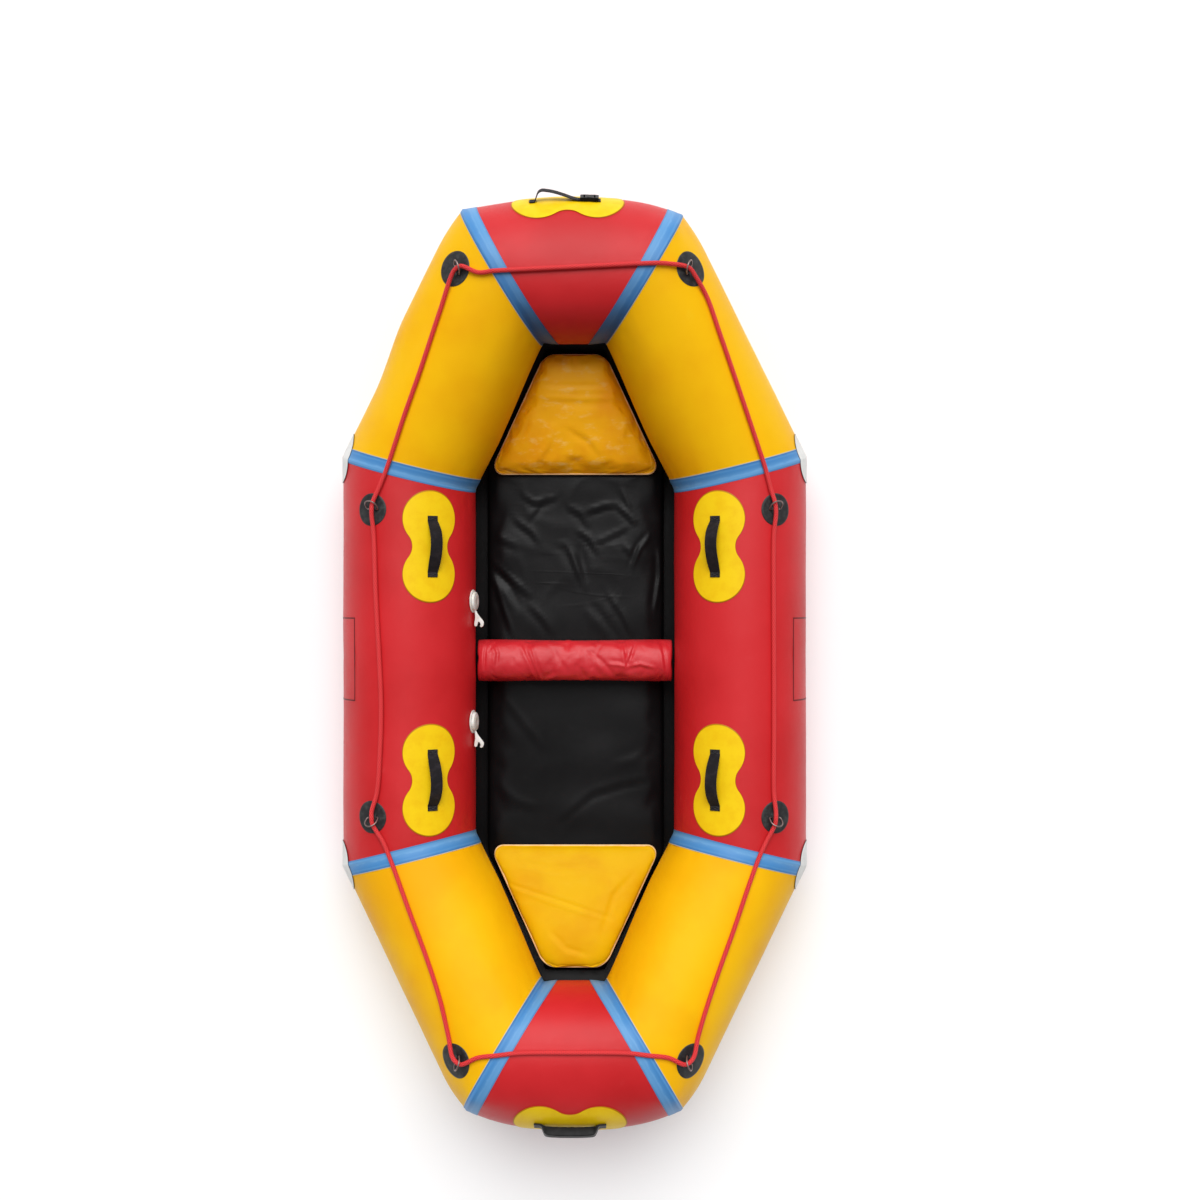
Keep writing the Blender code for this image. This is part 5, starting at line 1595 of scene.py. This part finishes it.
# valves: turned body, sprung poppet and a cap with its forked pull tab
valveLook = {"bore": 0.0135, "neck": 0.0165, "neckDepth": 0.021, "collar": 0.02, "collarTop": 0.0075,
             "flange": 0.0292, "flangeThickness": 0.0026, "lip": 0.0075, "lipDepth": 0.01, "lipThickness": 0.002,
             "cap": 0.0235, "capTop": 0.0036, "disc": 0.0105, "discThickness": 0.0028, "stem": 0.003,
             "button": 0.0045, "buttonHeight": 0.002, "tab": 0.004, "arm": 0.0032, "chamfer": 0.0006}
(bore, neck, neckDepth, collar, collarTop, flange, flangeThickness, lip, lipDepth, lipThickness, capRadius, capTop,
 disc, discThickness, stem, button, buttonHeight, tabWidth, arm, chamfer) = valveLook.values()
gap = hull["gap"]
flangeTop = gap + flangeThickness
lipBottom = -lipDepth - lipThickness
bodyOutline = [
    (bore, collarTop), (collar - chamfer, collarTop), (collar, collarTop - chamfer), (collar, flangeTop + 0.0012),
    (collar + 0.0012, flangeTop), (flange - 0.0034, flangeTop), (flange - 0.003, flangeTop - 0.0005),
    (flange - 0.0022, flangeTop - 0.0005), (flange - 0.0018, flangeTop), (flange - 0.001, flangeTop - 0.0002),
    (flange, flangeTop - 0.0012), (flange, gap), (neck, gap), (neck, -neckDepth), (bore, -neckDepth),
    (bore, lipBottom), (lip, lipBottom), (lip, -lipDepth), (bore, -lipDepth), (bore, collarTop),
]
discTop = lipBottom - gap
buttonTop = collarTop - gap
poppetOutline = [
    (0, buttonTop), (button - chamfer, buttonTop), (button, buttonTop - chamfer), (button, buttonTop - buttonHeight),
    (stem, buttonTop - buttonHeight), (stem, discTop), (disc - chamfer, discTop), (disc, discTop - chamfer),
    (disc, discTop - discThickness), (0, discTop - discThickness),
]
skirt = flangeTop + gap
roof = collarTop + gap
crest = roof + capTop
crown = ((0.3, 0.0004), (0.34, 0), (0.55, 0.0003), (0.72, 0.0006), (0.76, 0.0012), (0.8, 0.0009), (0.9, 0.0016),
         (0.97, 0.0026), (1, 0.004))    # shares of the cap's radius, and how far under the crest
capOutline = [(0, crest - 0.0005)] + [(capRadius * share, crest - under) for share, under in crown] + [
    (capRadius, skirt + 0.0004), (capRadius - 0.0004, skirt), (collar + gap, skirt), (collar + gap, roof), (0, roof),
]
tabOutline = [    # side on, in shares of the arm
    (0, 0), (3, 0.8), (6.5, 1.0), (9.2, 0.45), (11.0, 0.2), (12.4, 0.35), (13.0, 1.0), (12.9, 1.8), (12.6, 2.4),
    (11.0, 2.9), (9.6, 3.2), (9.2, 3.9), (9.6, 4.6), (10.6, 5.1), (11.6, 5.4), (12.2, 5.0), (12.8, 4.8), (13.4, 5.2),
    (13.6, 6.0), (13.1, 7.0), (12.2, 7.6), (10.8, 7.95), (9.4, 7.9), (7.8, 6.8), (6.2, 5.4), (4.6, 4.2), (3, 2.9),
    (0, 1.5),
]


def drawnOutline(points, edges, faces):
    mesh = bpy.data.meshes.new("outline")
    mesh.from_pydata(points, edges, faces)
    piece = bpy.data.objects.new("outline", mesh)
    bpy.context.scene.collection.objects.link(piece)
    return piece


def turnedPiece(outline, steps=72):
    edges = [(step, step + 1) for step in range(len(outline) - 1)]
    piece = drawnOutline([(radius, 0, height) for radius, height in outline], edges, [])
    openEdit(piece, "VERT", True)
    bpy.ops.mesh.spin(steps=steps, angle=2 * pi, center=(0, 0, 0), axis=(0, 0, 1))
    closeEdit()
    tidyMesh(piece, 1e-5)
    return piece


def knurl(co):    # the cap's finger grip
    if hypot(co.x, co.y) < capRadius * 0.985:
        return co
    cut = 1 - 0.018 * max(0.0, sin(atan2(co.y, co.x) * 24))
    return Vector((co.x * cut, co.y * cut, co.z))


def forkedTab():
    root = capRadius - 0.0014
    points = [(root + x * arm, -tabWidth / 2, skirt + gap + z * arm) for x, z in tabOutline]
    tab = drawnOutline(points, [], [range(len(points))])
    openEdit(tab, everything=True)
    bpy.ops.mesh.extrude_region_move(TRANSFORM_OT_translate={"value": (0, tabWidth, 0)})
    closeEdit()
    tidyMesh(tab)
    roundEdges(tab, 0.0007, 3, 50)
    return tab


valveParts = {"body": turnedPiece(bodyOutline), "poppet": turnedPiece(poppetOutline),
              "cap": turnedPiece(capOutline, 96)}
movePoints(valveParts["cap"], knurl)
joinTo(valveParts["cap"], forkedTab())
valves = {"bow": valveParts, "stern": {part: copyOf(piece) for part, piece in valveParts.items()}}
for end, parts in valves.items():
    centre = toQuarter(hullPoint(sideRun, valve["y"], valve["angle"]), end, "left")
    spoke = toQuarter(sideRun.spoke(valve["angle"]), end, "left")
    seat = frameFrom(centre, -forward, spoke.cross(-forward), spoke)
    for part, angle in (("body", 30), ("poppet", 30), ("cap", 40)):
        piece = parts[part]
        piece.data.transform(seat)
        tidyMesh(piece)
        node = f"{end}_valve_{part}"
        body = "hull" if part == "body" else node
        finishPiece(piece, f"{end}Valve{part.title()}", whitePlastic, body, [node], angle)
print("valves")


# bare round discs over the outer side seams, and a plain thin frame on each side tube
cornerDisc = {"radius": 0.066, "angle": radians(80), "lift": 0.0022, "thickness": 0.0007, "rim": 0.03,
              "rimDrop": 0.0004}
sideFrame = {"middle": 0.0083, "long": 0.207, "low": radians(95), "high": radians(46.5), "line": 0.0034,
             "lift": 0.0004, "thickness": 0.0003}


def glueDisc(end, side):
    def surface(step, reach, ring):
        lift = cornerDisc["lift"] - cornerDisc["rimDrop"] * rimShare(ring, cornerDisc["rim"])
        return onSeam("side", step, cornerDisc["angle"] + reach / hull["radius"], lift, end, side)

    piece = pressedDisc(96, discInsets, lambda turn: cornerDisc["radius"], surface)
    faceAway(piece, coreOf(sideRun, end, side))
    thicken(piece, cornerDisc["thickness"], -1)
    finishPiece(piece, f"{end}{side.title()}BareDisc", bareWhite, "hull")


def glueFrame(side):
    halfLong = sideFrame["long"] / 2
    corners = [(-halfLong, sideFrame["low"]), (halfLong, sideFrame["low"]), (halfLong, sideFrame["high"]),
               (-halfLong, sideFrame["high"])]

    def place(u, v):
        turn = (u * 4) % 4
        index = int(turn)
        share = turn - index
        spots = []
        for along, angle in (corners[index], corners[(index + 1) % 4]):
            inward = sideFrame["line"] * v
            middle = (sideFrame["low"] + sideFrame["high"]) / 2
            spots.append((along - inward * (1 if along > 0 else -1),
                          angle - inward / hull["radius"] * (1 if angle > middle else -1)))
        along = spots[0][0] + (spots[1][0] - spots[0][0]) * share
        angle = spots[0][1] + (spots[1][1] - spots[0][1]) * share
        return onHull(sideRun, sideFrame["middle"] + along, angle, sideFrame["lift"], "bow", side)

    piece = laidGrid(96, 3, place, lambda u, v: (0.99, u))
    tidyMesh(piece)
    faceAway(piece, coreOf(sideRun, "bow", side))
    thicken(piece, sideFrame["thickness"], -1)
    finishPiece(piece, f"{side}SideFrame", frameInk, "hull")


for end, side in quarters:
    glueDisc(end, side)
for side in ("left", "right"):
    glueFrame(side)
print("bare discs and frames")


# studio: pale floor, one broad even light from the bow side and soft fill from all round
studio = {"sun": 2.6, "sunHeight": radians(56), "sunSoft": radians(46), "air": 0.4, "airTilt": 0.5,
          "airRise": 0.15, "airBase": 0.9, "floor": 0.84, "floorGlow": 0.16}
bpy.ops.mesh.primitive_plane_add(size=60, location=(0, 0, -0.0006))
studioFloor = bpy.context.object
studioFloor.name = "studioFloor"
floorBench = Finish("studio floor", Roughness=0.9, Specular_IOR_Level=0.2, Emission_Color=tone(1, 1, 1),
                    Emission_Strength=studio["floorGlow"])
pale, paler = studio["floor"], studio["floor"] + 0.01
studioFloor.data.materials.append(floorBench.dress(
    floorBench.blend(floorBench.cloud(floorBench.place(), 2.0), tone(pale, pale, pale), tone(paler, paler, paler))
))
bpy.ops.object.light_add(type="SUN", location=(0, 4, 5), rotation=(studio["sunHeight"] - pi / 2, 0, 0))
sunLamp = bpy.context.object
sunLamp.name = "bow light"
sunLamp.data.energy = studio["sun"]
sunLamp.data.angle = studio["sunSoft"]
world = bpy.data.worlds.new("studio air")
world.use_nodes = True
airBench = Bench(world.node_tree)
wayY, wayZ = airBench.parts(airBench.place("Generated"))[1:]
glow = (wayY * studio["airTilt"] + wayZ * studio["airRise"] + studio["airBase"]) * studio["air"]
background = world.node_tree.nodes["Background"]
background.inputs["Color"].default_value = tone(0.97, 0.98, 1.0)
world.node_tree.links.new(glow.socket, background.inputs["Strength"])
bpy.context.scene.world = world
bpy.context.scene.view_settings.view_transform = "Standard"
print("studio")
